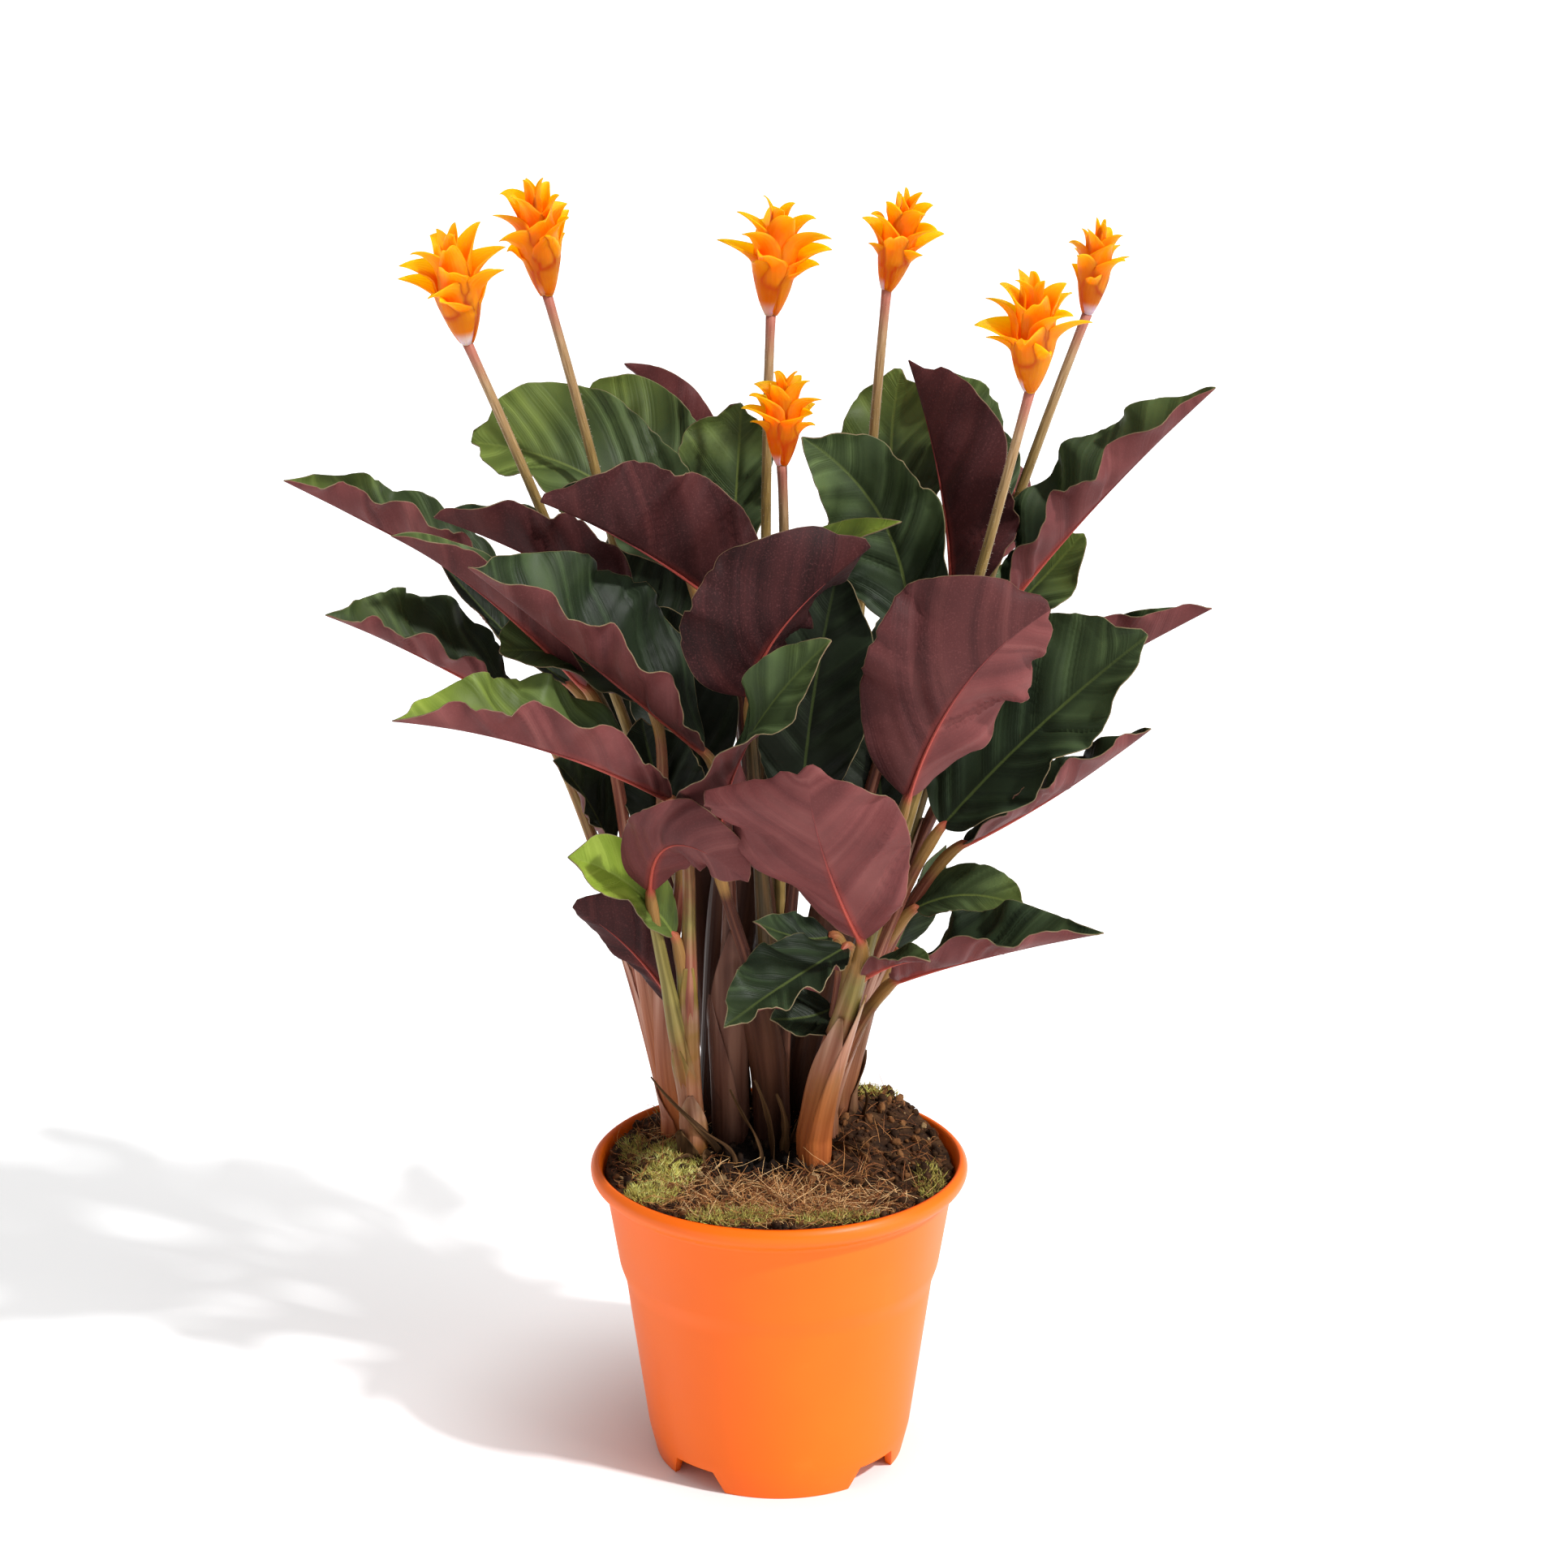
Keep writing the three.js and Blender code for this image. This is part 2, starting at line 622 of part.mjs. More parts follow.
  shoot_right: {
    foot: [21, 31],
    lean: [6, 0],
    leaves: {
      high: {
        base: [81, 20, 322], mid: [113, 15, 362], tip: [154, 5, 407], face: [-0.3, 0, 1],
        left: [28, 38], right: [16, 45], wave: [4.2, 4, 0.1],
      },
      far: {
        base: [77, 26, 274], mid: [113, 20, 298], tip: [157, 10, 326], face: [-0.1, 0, 1],
        left: [17, 60], right: [20, 62], wave: [3.1, 4, 0.2],
      },
      upright: {
        base: [64, 42, 320], mid: [59, 44, 362], tip: [47, 55, 406], face: [0.95, 0, 0.2],
        left: [28, 58, 0.4], right: [32, 58, 0.62], wave: [3.9, 3, 0.3], blunt: 3,
      },
    },
    flowers: {
      flower_6: { base: [111, 50, 424], top: [116, 50, 458], meet: [76, 43, 331], spread: 0.75 },
    },
  },
  shoot_back_right: {
    foot: [14, 46],
    lean: [3, 3],
    leaves: {
      far: {
        base: [49, 68, 327], mid: [42, 82, 361], tip: [46, 92, 397], face: [-0.3, -0.9, 0.3],
        left: [20, 12, 0.45], right: [22, 12, 0.5], wave: [3.4, 3, 0.2], blunt: 3.2,
      },
      green: {
        base: [76, 66, 299], mid: [95, 72, 316], tip: [115, 76, 338], face: [0, -0.6, 0.8],
        left: [16, 10], right: [16, 10], wave: [1.8, 3, 0.4], blunt: 2.8,
      },
      fold: {
        base: [83, 96, 322], mid: [89, 104, 342], tip: [88, 112, 357], face: [0, 0.9, 0.3],
        left: [9, 20], right: [9, 20], wave: [1, 2, 0.1],
      },
      shade: {
        base: [38, 84, 250], mid: [52, 108, 280], tip: [62, 132, 298], face: [-0.2, -0.7, 0.6],
        left: [19, 15, 0.5], right: [20, 15, 0.5], wave: [3.1, 3, 0.4],
      },
    },
    flowers: {
      flower_4: { base: [39, 60, 431], top: [47, 55, 467], meet: [30, 62, 330], spread: 0.87 },
    },
  },
};

// ---------------------------------------------------------------- bloom
// Torch of pointed bracts in nested cups. Heights and radii are shares of the
// head's height; each cup has free tips between its notches.
const BRACT_TIERS = [
  { tips: 5, root: 0.0, waist: [0.15, 0.24], notch: [0.22, 0.45], tip: [0.45, 0.6], turn: 0.0 },
  { tips: 5, root: 0.2, waist: [0.19, 0.5], notch: [0.18, 0.64], tip: [0.36, 0.81], turn: 0.5 },
  { tips: 3, root: 0.4, waist: [0.13, 0.7], notch: [0.12, 0.82], tip: [0.15, 0.97], turn: 0.2 },
];

function bractCup(tier, size, spread, seed) {
  const count = 2 * tier.tips;
  const ring = (radius, height) => {
    const points = [];
    for (let k = 0; k < count; k += 1) {
      const turn = 2 * Math.PI * (k / count + (tier.turn + 0.13 * seed) / tier.tips);
      const [r, z] = [radius(k), height(k)];
      points.push(new THREE.Vector3(r * Math.cos(turn), r * Math.sin(turn), z));
    }
    return points;
  };
  const vary = (k) => 1 + 0.1 * uneven(seed + tier.tips, k);
  const opened = [spread, 1];    // a head opens outward, not upward
  const rim = (k, i) => size * (k % 2 ? tier.notch[i] : opened[i] * tier.tip[i] * vary(k));
  const inside = (k, i) => rim(k, i) - (i === 0 ? BRACT_THICK * (k % 2 ? 1 : 0.8) : 0.1);
  return loft([
    ring(() => 1.5 + 0.02 * size, () => tier.root * size),
    ring((k) => size * tier.waist[0] * (k % 2 ? 0.9 : 1.08), () => size * tier.waist[1]),
    ring((k) => rim(k, 0), (k) => rim(k, 1)),
    ring((k) => inside(k, 0), (k) => inside(k, 1)),
    ring((k) => Math.max(0.6, size * tier.waist[0] - BRACT_THICK), () => size * (tier.waist[1] + 0.06)),
  ]);
}

function bloom(size, spread, seed) {
  let head = null;
  for (const tier of BRACT_TIERS) {
    const cup = bractCup(tier, size, spread, seed);
    head = head ? head.add(cup) : cup;
  }
  return head;
}

// ---------------------------------------------------------------- pot
function lathe(profile, segments) {
  const geometry = new THREE.LatheGeometry(profile.map(([r, z]) => new THREE.Vector2(r, z)), segments);
  geometry.rotateX(Math.PI / 2);
  return toSolid(geometry);
}

function notch(turn) {
  const shape = new THREE.Shape();
  shape.moveTo(-NOTCH_LOW / 2, -1);
  shape.lineTo(NOTCH_LOW / 2, -1);
  shape.lineTo(NOTCH_HIGH / 2, FOOT_HEIGHT);
  shape.lineTo(-NOTCH_HIGH / 2, FOOT_HEIGHT);
  shape.closePath();
  const cut = new THREE.ExtrudeGeometry(shape, { depth: NOTCH_DEEP, bevelEnabled: false });
  cut.rotateX(Math.PI / 2);
  cut.translate(0, -FOOT_RADIUS + NOTCH_DEEP / 2, 0);
  cut.rotateZ(turn);
  return toSolid(cut);
}

function pot() {
  const floorTop = FOOT_HEIGHT + FLOOR_THICK;
  const profile = [
    [0, 0],
    [PAD_RADIUS, 0],
    [PAD_RADIUS + 2, FOOT_HEIGHT],
    [FOOT_RADIUS - FOOT_THICK + 0.6, FOOT_HEIGHT],
    [FOOT_RADIUS - FOOT_THICK, 0],
    [FOOT_RADIUS, 0],
    [HEEL[0] - 0.8, FOOT_HEIGHT],
    HEEL,
    WAIST,
    BAND,
    NECK,
    [RIM_RADIUS - 1, RIM_TOP - RIM_ROLL],
    [RIM_RADIUS, RIM_TOP - RIM_ROLL + 2],
    [RIM_RADIUS, RIM_TOP - 2.5],
    [RIM_RADIUS - 2.4, RIM_TOP],
    [RIM_INSIDE + 0.3, RIM_TOP - 1.6],
    [NECK[0] + 0.1, NECK[1]],
    [BAND[0] - WALL, BAND[1]],
    [WAIST[0] - WALL, WAIST[1]],
    [HEEL[0] - WALL, HEEL[1] + 0.5],
    [FLOOR_RADIUS, floorTop],
    [0, floorTop],
  ];
  let body = lathe(profile, POT_SEGMENTS);
  for (let k = 0; k < NOTCHES; k += 1) {
    body = body.subtract(notch(NOTCH_TURN_START + k * NOTCH_TURN));
  }
  return body;
}

// ---------------------------------------------------------------- soil
function soil(shoots) {
  const c = CLEARANCE;
  const wall = [
    [FLOOR_RADIUS - c, FOOT_HEIGHT + FLOOR_THICK + c],
    [HEEL[0] - WALL - c, HEEL[1] + 0.5 + c],
    [WAIST[0] - WALL - c, WAIST[1] + c],
    [BAND[0] - WALL - c, BAND[1] + c],
    [NECK[0] + 0.1 - c, NECK[1] + c],
    [SOIL_RINGS[0], SOIL_EDGE],
  ];
  const rings = wall.map(([r, z]) => ringAt(r, () => z));
  SOIL_RINGS.slice(1).forEach((r, n) => {
    rings.push(ringAt(r, (x, y, k) => soilLevel(x, y) + SOIL_ROUGH * uneven(n + 3, k)));
  });
  let body = loft(rings);
  for (const shoot of Object.values(shoots)) {
    const [x, y] = shoot.foot;
    const ground = soilLevel(x, y);
    const wide = (shoot.girth ?? BUNDLE_RADIUS) + CLEARANCE / Math.cos(Math.PI / BUNDLE_SIDES);
    const path = [new THREE.Vector3(x, y, ground - HOLE_DEPTH), new THREE.Vector3(x, y, ground + 6)];
    body = body.subtract(rod(path, [wide, wide], BUNDLE_SIDES));
  }
  return body;
}

function ringAt(radius, level) {
  const ring = [];
  for (let k = 0; k < POT_SEGMENTS; k += 1) {
    const turn = 2 * Math.PI * k / POT_SEGMENTS;
    const x = radius * Math.sin(turn);
    const y = -radius * Math.cos(turn);
    ring.push(new THREE.Vector3(x, y, level(x, y, k)));
  }
  return ring;
}

// ---------------------------------------------------------------- assembly
const plant = new THREE.Group();
plant.name = 'calathea_crocata';

function addPiece(name, solid, colour, roughness) {
  const mesh = new THREE.Mesh(toGeometry(solid), finish(colour, roughness));
  mesh.name = name;
  plant.add(mesh);
  return mesh;
}

addPiece('pot', pot(), COLOURS.pot, 0.45);
addPiece('soil', soil(SHOOTS), COLOURS.soil, 1);

let seed = 0;
for (const [name, shoot] of Object.entries(SHOOTS)) {
  let body = bundle(shoot);
  for (const leaf of Object.values(shoot.leaves)) {
    body = body.add(petiole(shoot, leaf)).add(blade(leaf));
  }
  for (const flower of Object.values(shoot.flowers ?? {})) {
    body = body.add(stalk(shoot, flower));
  }
  addPiece(name, body, COLOURS.leaf, 0.6);
  for (const [flowerName, flower] of Object.entries(shoot.flowers ?? {})) {
    seed += 1;
    const from = vec(flower.base);
    const axis = vec(flower.top).sub(from);
    const head = addPiece(flowerName, bloom(axis.length(), flower.spread, seed), COLOURS.bloom, 0.5);
    axis.normalize();
    head.position.copy(from).addScaledVector(axis, CLEARANCE);
    head.quaternion.setFromUnitVectors(UP, axis);
  }
}

export default plant;
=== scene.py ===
"""Eternal flame calathea (Calathea crocata) in its orange nursery pot, dressed for a white studio.

Sizes are in millimetres, +Z up, with the front of the plant toward -Y and its right side toward +X.
"""
import math

import bpy
import numpy as np
from mathutils import Euler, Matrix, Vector, noise


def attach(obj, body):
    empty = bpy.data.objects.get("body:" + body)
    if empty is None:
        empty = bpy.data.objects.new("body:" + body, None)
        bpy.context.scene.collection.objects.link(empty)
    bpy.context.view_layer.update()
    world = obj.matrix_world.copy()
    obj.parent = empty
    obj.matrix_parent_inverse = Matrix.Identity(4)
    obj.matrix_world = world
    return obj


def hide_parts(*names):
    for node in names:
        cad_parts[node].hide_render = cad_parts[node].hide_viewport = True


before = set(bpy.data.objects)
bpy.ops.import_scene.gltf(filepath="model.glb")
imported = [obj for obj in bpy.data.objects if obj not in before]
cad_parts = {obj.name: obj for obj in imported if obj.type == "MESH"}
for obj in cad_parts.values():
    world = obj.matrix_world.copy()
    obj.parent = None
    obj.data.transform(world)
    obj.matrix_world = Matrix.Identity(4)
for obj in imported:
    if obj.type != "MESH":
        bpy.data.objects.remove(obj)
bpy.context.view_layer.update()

MM = 0.001

# ---------------------------------------------------------------- camera and light
VIEW_SIDE = 1932               # pixels on each side of the view
FOCAL_LENGTH = 4660            # in the same pixels
SENSOR = 36
CAMERA_PLACE = (1.8, -1300, 669.5)
CAMERA_DOWN = 17.4             # degrees below the horizon
KEY_FROM = (0.74, -0.5, 1.0)   # the key light comes from the right, the front and above
KEY_STRENGTH = 2.9
KEY_SPREAD = 3.5               # degrees across the lamp
FILL_FROM = (1.0, -0.6, 0.3)   # a broad weak lamp to the right of the camera
FILL_STRENGTH = 1.2
FILL_SPREAD = 30
SKY_STRENGTH = 0.42
FLOOR_SIDE = 60000
FLOOR_GLOW = 0.44

# ---------------------------------------------------------------- pot and soil
CLEARANCE = 0.35               # between the pot, the soil, the shoots and the blooms
RIM_RADIUS = 70
RIM_TOP = 118
RIM_ROLL = 7
RIM_INSIDE = 66
NECK = (64.6, 108)             # radius and height, as are the next three
BAND = (59.4, 75.5)
WAIST = (57.6, 72)
HEEL = (49.4, 12)
FOOT_RADIUS = 46.5
FOOT_HEIGHT = 8.5
FOOT_THICK = 2.6
FLOOR_THICK = 2
FLOOR_RADIUS = 47
WALL = 1.3
PAD_RADIUS = 12
STEP_SOFT = 3                  # how far the band's step is drawn out, up and down
STEP_ROWS = 14
POT_SEGMENTS = 180
EDGE_ROUND = 0.35
NOTCHES = 4
NOTCH_START = math.radians(49)
NOTCH_LOW = 26
NOTCH_HIGH = 18
NOTCH_DEEP = 20
SOIL_EDGE = 113
SOIL_RADIUS = 64.6
SOIL_SEGMENTS = 220
SOIL_RINGS = 62
MOUNDS = [(-4, 24, 30, 9), (36, 40, 16, 9)]     # middle, spread and rise
HOLLOW = (-8, -4, 160, 4.5)    # the dip in front of the stems: middle, twice its squared spread, depth
FRONT_RIDGE = (-56, 16, 1.8)   # the bank along the front rim: its line, spread and rise
COARSE_SOIL = (14, 1.5)        # size and height of the soil's bumps
FINE_SOIL = (4, 0.8)
PLANTED_RADIUS = 63.5          # where crumbs and moss stop short of the rim
CRUMBS = 1900
STRAWS = 3000
STRAW_STEPS = 5
STRAW_RADIUS = 61              # where fibres may start, and where they are held back from the rim
STRAW_END_RADIUS = 62.5
CROWN_BARE = (-9, 8, 22, 19)   # the ellipse without straw: middle and half lengths

# ---------------------------------------------------------------- blades
BLADE_CUP = math.radians(12)
BLADE_SHOULDER = 0.62
BLADE_POINT = 2.1
BLADE_WIDEST = 0.42
FOLD_START = 0.55
FOLD_SETTLED = 0.35
WAVE_OUTWARD = 1.7
WAVE_OFFSET = 0.37
BLADE_HALF_THICK = 0.27
BLADE_LEAST = 0.012
BLADE_ROW_LENGTH = 1.35
BLADE_COLUMNS = (0, 0.035, 0.09, 0.16, 0.24, 0.32, 0.4, 0.48, 0.56, 0.64, 0.72, 0.8, 0.87, 0.93, 0.975, 1)
PLEAT_SPACING = 12             # lateral veins along the midrib
PLEAT_HEIGHT = 1.15
PLEAT_SWEEP = 1.1              # how far a lateral vein arches toward the tip, in half widths
RIPPLE_HEIGHT = 2.0            # small waves close to the margin
NICK_DEEP = 0.05               # how far the margin wavers inward, as a share of a half width
TIP_NICK = 3.5                 # how far a blunt tip is scalloped
TIP_NICK_SPACING = 13
GROOVE_DEEP = 0.35
LATERAL_SCALE = 40             # millimetres that one unit of the distance maps stands for

# ---------------------------------------------------------------- stems
PETIOLE_RISE = 0.42
PETIOLE_MEET = 0.13
PETIOLE_STEPS = 44
SHEATH_SHARE = 0.42
SHEATH_RADIUS = 3.6
SHEATH_LOW = 6                 # how far up its stem a sheath starts, from the stem's end in the soil
SHEATH_HALF_THICK = 0.34
SHEATH_WINGS = 2.4             # how far a sheath's margins stand off its stem
PETIOLE_RADIUS = 2.4
NECK_RADIUS = 1.7
RIB_START_RADIUS = 0.85
RIB_END_RADIUS = 0.12
RIB_END = 0.8                  # share of the midrib where its ridge has faded out
RIB_STEPS = 36
PULVINUS_LENGTH = 15
PULVINUS_SWELL = 1.28
FOOT_SPREAD = 2.3
FOOT_STRAIGHT = 8
HOLE_DEPTH = 12
LEAN_HEIGHT = 30               # the height over which a shoot leans by what its entry says
STALK_RISE = 0.3
STALK_RADIUS = 1.7
STALK_FOOT_RADIUS = 2.4
STALK_STEPS = 60
STEM_SIDES = 12
STEM_SCALE = 100               # millimetres that one unit of the stem maps stands for
HAIRS = 260                    # on one stalk
HAIRY_LENGTH = 110
HAIR_LENGTH = 0.9
HAIR_RADIUS = 0.07


def leaf(base, mid, tip, face, left, right, wave, tone=0.3, **more):
    """A blade: three points of its midrib, the way it faces, its halves, its waves and how green it is.

    A half has a width and a fold in degrees and, where they are its own, the share of the midrib where
    it is widest, how round it is below that and how blunt above. wave is a height, a count and a phase.
    more holds what only some have: face_tip, blunt, deep (the painted shade that dims the underside,
    for the whole of it or for each half), and the radii of its sheath and stem.
    """
    return dict(base=base, mid=mid, tip=tip, face=face, left=left, right=right, wave=wave, tone=tone, **more)


def bloom_place(base, top, meet, spread):
    """A flower head from its base to its top, on a stalk that bends at meet, and how far it opens."""
    return dict(base=base, top=top, meet=meet, spread=spread)


# dark is how far a shoot's stems are darkened, by painted shade on the inner shoots over a deeper brown of
# their own, and green how olive they are. Its outer sheaths stand round its first petiole: their height,
# radius at the soil and above, how far they wrap round in degrees, the way their back faces, how dry they
# are, how orange their foot is and what is left of their width at the top
SHOOTS = {
    "shoot_front": dict(
        foot=(12, 0), lean=(4, -7), dark=0.2, green=0.65,
        sheaths=[(82, 5.9, 5.2, 205, -15, 0.1, 1.0, 0.3), (74, 6.0, 5.4, 190, -110, 0.0, 1.0, 0.1)],
        leaves=dict(
            keel=leaf((29, -38, 216), (15, -67, 259), (9, -73, 293), (0.2, 0.9, 0.4),
                (31, 8, 0.55, BLADE_SHOULDER, 1.8), (41, 7, 0.8, 1.05, 0.8), (3.6, 3, 0.2), 0.4,
                sheath=5.4, stem=4.2, deep=0.0),
            small_right=leaf((31, -28, 199), (42, -40, 208), (54, -52, 213), (0, -0.3, 0.95),
                (9, 15), (9, 35), (1.2, 2, 0.1), 0.45),
            long=leaf((24, -20, 207), (2, -48, 203), (-19, -72, 196), (0, -0.4, 0.9),
                (12, 12), (17, 12), (2.6, 4, 0.1), 0.3),
            upper=leaf((19, -11, 208), (6, -18, 210), (-10, -28, 220), (0, -0.5, 0.85),
                (9, 12), (10, 12), (1.6, 3, 0.4), 0.3),
            lower=leaf((20, -5, 178), (9, -10, 176), (-4, -17, 178), (0, -0.6, 0.8),
                (12, 10), (12, 10), (1, 2, 0.2), 0.25),
        ),
    ),
    "shoot_right_front": dict(
        foot=(14, 16), lean=(8, -2), dark=0.35, green=0.5,
        sheaths=[(62, 5.4, 4.4, 230, -40, 0.1, 0.4, 0.1), (24, 6.0, 6.2, 170, 150, 0.8, 0.0, 0.05)],
        leaves=dict(
            broad=leaf((59, 3, 245), (92, -2, 283), (132, -6, 320), (-0.3, -0.8, 0.55),
                (36, 8, 0.5), (20, 10, 0.45), (4.4, 3, 0.4), 0.32, blunt=2.8),
            wine=leaf((45, -38, 269), (64, -54, 315), (95, -52, 342), (-0.25, 0.95, 0.2),
                (24, 8, 0.45), (38, 12, 0.6, 0.8, 1.7), (4.4, 3, 0), 0.4, blunt=3.4,
                deep=(0.0, 0.6)),
            low=leaf((43, -8, 190), (72, -34, 208), (114, -50, 223), (0, -0.2, 1),
                (22, 28), (17, 40), (3.4, 3, 0.3), 0.3, deep=0.15),
            under=leaf((67, 10, 236), (103, 6, 258), (135, -2, 285), (-0.1, -0.1, 1),
                (14, 24), (21, 31), (2.6, 4, 0.3), 0.3, deep=0.1),
            olive=leaf((50, 8, 212), (69, 2, 219), (90, -8, 217), (0, -0.5, 0.85),
                (13, 10), (12, 10), (1, 2, 0.2), 0.5, blunt=3),
            inner=leaf((43, 15, 193), (51, 20, 211), (62, 30, 229), (0.7, -0.7, 0.2),
                (9, 15), (9, 15), (1, 2, 0.1), 0.4),
        ),
        flowers=dict(
            flower_5=bloom_place((86, -25, 411), (87, -30, 452), (63, -4, 307), 1.02),
        ),
    ),
    "shoot_centre": dict(
        foot=(-2, 14), lean=(0, -2), dark=0.92, green=0.4,
        sheaths=[(84, 5.6, 7.0, 240, -100, 0.15, 0.1, 0.08), (28, 5.8, 6.0, 150, 60, 0.9, 0.0, 0.05)],
        leaves=dict(
            curl=leaf((-22, -20, 240), (-12, -41, 288), (19, -53, 331), (-0.5, 0.8, 0.3),
                (15, 15, 0.6), (20, 15, 0.5), (3.1, 3, 0.1), 0.44, face_tip=(-0.5, -0.7, 0.5),
                blunt=3, deep=0.4),
            wine=leaf((-10, -24, 302), (2, -32, 330), (34, -26, 358), (-0.35, 0.85, 0.4),
                (22, 35), (34, 15), (3.9, 3, 0.2), 0.6, blunt=2.8, deep=0.95),
            small=leaf((-3, 10, 319), (14, 2, 345), (43, -8, 361), (0, -0.6, 0.8),
                (10, 20), (9, 20), (1.2, 2, 0.3), 0.7),
            shade=leaf((8, 6, 250), (13, 4, 298), (22, 6, 344), (0, -0.9, 0.2),
                (22, 15, 0.5), (22, 15, 0.5), (2.6, 3, 0.2), 0.12),
        ),
        flowers=dict(
            flower_7=bloom_place((1, 20, 375), (2, 20, 410), (4, 24, 320), 0.92),
        ),
    ),
    "shoot_middle": dict(
        foot=(-17, 15), lean=(-1, -3), dark=0.78, green=0.1,
        sheaths=[(96, 5.6, 8.6, 250, -80, 0.0, 0.1, 0.08), (66, 6.2, 8.0, 190, -150, 0.1, 0.1, 0.05)],
        leaves=dict(
            broad=leaf((-27, -12, 278), (-67, -24, 315), (-108, -38, 353), (0.1, -0.25, 1),
                (20, 55), (38, 32, 0.45), (3.9, 4, 0.1), 0.3, deep=0.2),
        ),
    ),
    "shoot_left_front": dict(
        foot=(-31, 6), lean=(-3, -2), dark=0.15, green=1.0,
        sheaths=[(30, 4.6, 4.2, 240, -90, 0.1, 0.6, 0.1), (16, 5.8, 6.0, 170, -140, 0.9, 0.0, 0.05)],
        leaves=dict(
            bright=leaf((-39, -20, 263), (-84, -43, 289), (-134, -58, 303), (0, -0.1, 1),
                (18, 58), (30, 32), (3.9, 4, 0), 0.7, deep=0.1),
            scroll=leaf((-46, -20, 228), (-36, -42, 253), (-9, -54, 242), (0.1, 0.9, 0.35),
                (14, 12), (17, 12), (2.9, 3, 0.1), 0.3, blunt=3.4, deep=0.2),
            pale=leaf((-38, -8, 207), (-54, -18, 230), (-75, -26, 243), (0.2, -0.7, 0.6),
                (13, 25, 0.68), (13, 25, 0.68), (1.6, 2, 0.2), 1.0, blunt=3.4),
            grey=leaf((-37, 8, 172), (-55, 4, 198), (-77, -2, 217), (0.3, 0.9, 0.3),
                (20, 10, 0.6, 0.8, 2.5), (8, 10), (1.2, 2, 0.3), 0.25, blunt=3.4, deep=0.9),
        ),
    ),
    "shoot_left_middle": dict(
        foot=(-24, 29), lean=(1, -3), dark=0.9, green=0.4,
        sheaths=[(116, 5.8, 9.5, 250, -90, 0.05, 0.1, 0.5), (34, 6.0, 6.4, 180, 170, 0.3, 0.2, 0.1)],
        leaves=dict(
            tall=leaf((-15, 13, 321), (-47, -8, 350), (-84, -22, 372), (0.1, 0, 1),
                (34, 70), (24, 55), (3.9, 4, 0.3), 0.25, blunt=2.6, deep=0.8),
        ),
    ),
    "shoot_left": dict(
        foot=(-38, 24), lean=(-7, 0), dark=0.0, green=0.05,
        sheaths=[(80, 5.4, 6.8, 250, -120, 0.0, 1.0, 0.3), (28, 6.2, 6.4, 190, 180, 0.2, 1.0, 0.1)],
        leaves=dict(
            shade=leaf((-37, 16, 234), (-45, 15, 260), (-50, 14, 284), (0.1, -0.9, 0.3),
                (16, 15, 0.5), (18, 15, 0.5), (1.6, 3, 0.1), 0.12),
            narrow=leaf((-69, -3, 299), (-103, -12, 335), (-136, -22, 360), (0.3, 0, 1),
                (14, 55), (14, 50), (1.8, 3, 0.2), 0.45, deep=0.45),
            far=leaf((-95, 35, 281), (-130, 25, 303), (-163, 15, 321), (0.1, -0.1, 1),
                (12, 45), (27, 35), (3.4, 4, 0.1), 0.45, deep=0.1),
            round=leaf((-48, 5, 292), (-74, -3, 310), (-101, -11, 314), (0, -0.4, 0.9),
                (15, 8), (19, 8, 0.6), (1.4, 2, 0.1), 0.45, blunt=3),
            inner=leaf((-62, 22, 229), (-70, 12, 252), (-82, 2, 271), (0.5, -0.5, 0.7),
                (14, 20), (15, 20), (1.6, 3, 0.1), 0.3),
        ),
    ),
    "shoot_back_left": dict(
        foot=(-17, 44), lean=(-5, 2), dark=0.85, green=0.5,
        sheaths=[(120, 6.4, 12, 240, -60, 0.1, 0.1, 0.7), (26, 6.2, 6.6, 180, 60, 0.7, 0.0, 0.05)],
        leaves=dict(
            inner=leaf((-28, 34, 253), (-37, 31, 289), (-50, 35, 323), (0.1, -0.9, 0.3),
                (20, 15, 0.5), (21, 15, 0.5), (2.6, 3, 0.3), 0.12),
            shade_upper=leaf((-37, 62, 276), (-53, 84, 306), (-66, 98, 332), (0.1, -0.8, 0.5),
                (20, 15, 0.5), (22, 15, 0.5), (2.9, 3, 0.1), 0.15),
            long=leaf((-96, 50, 319), (-142, 45, 344), (-178, 30, 367), (0.3, 0, 1),
                (17, 48), (20, 42), (3.4, 4, 0.2), 0.55, deep=0.1),
            dark=leaf((-50, 27, 318), (-87, 19, 341), (-125, 10, 359), (0.1, 0, 1),
                (22, 60), (18, 52), (3.4, 4, 0.4), 0.25, deep=0.65),
            green=leaf((-34, 60, 325), (-68, 70, 358), (-116, 76, 371), (0.2, -0.6, 0.75),
                (24, 15, 0.5), (31, 18, 0.62), (4.2, 3, 0.1), 0.55, blunt=3.4),
            grey=leaf((-78, 54, 284), (-104, 64, 303), (-128, 72, 329), (0.3, -0.3, 0.9),
                (10, 15), (10, 15), (1, 2, 0.1), 0.2),
            shade=leaf((-43, 66, 240), (-65, 92, 270), (-88, 110, 297), (0.2, -0.7, 0.5),
                (22, 15, 0.5), (22, 15, 0.5), (3.1, 3, 0.2), 0.15),
        ),
        flowers=dict(
            flower_1=bloom_place((-110, 20, 419), (-116, 15, 460), (-74, 38, 328), 1.05),
            flower_2=bloom_place((-84, 60, 429), (-89, 58, 471), (-58, 62, 333), 0.85),
        ),
    ),
    "shoot_back": dict(
        foot=(-1, 45), lean=(-1, 4), dark=0.95, green=0.3,
        sheaths=[(132, 7.0, 14, 250, -100, 0.1, 0.1, 0.7), (28, 6.2, 6.6, 180, 130, 0.7, 0.0, 0.05)],
        leaves=dict(
            green=leaf((-18, 78, 323), (-16, 88, 351), (-14, 93, 384), (0, -0.9, 0.4),
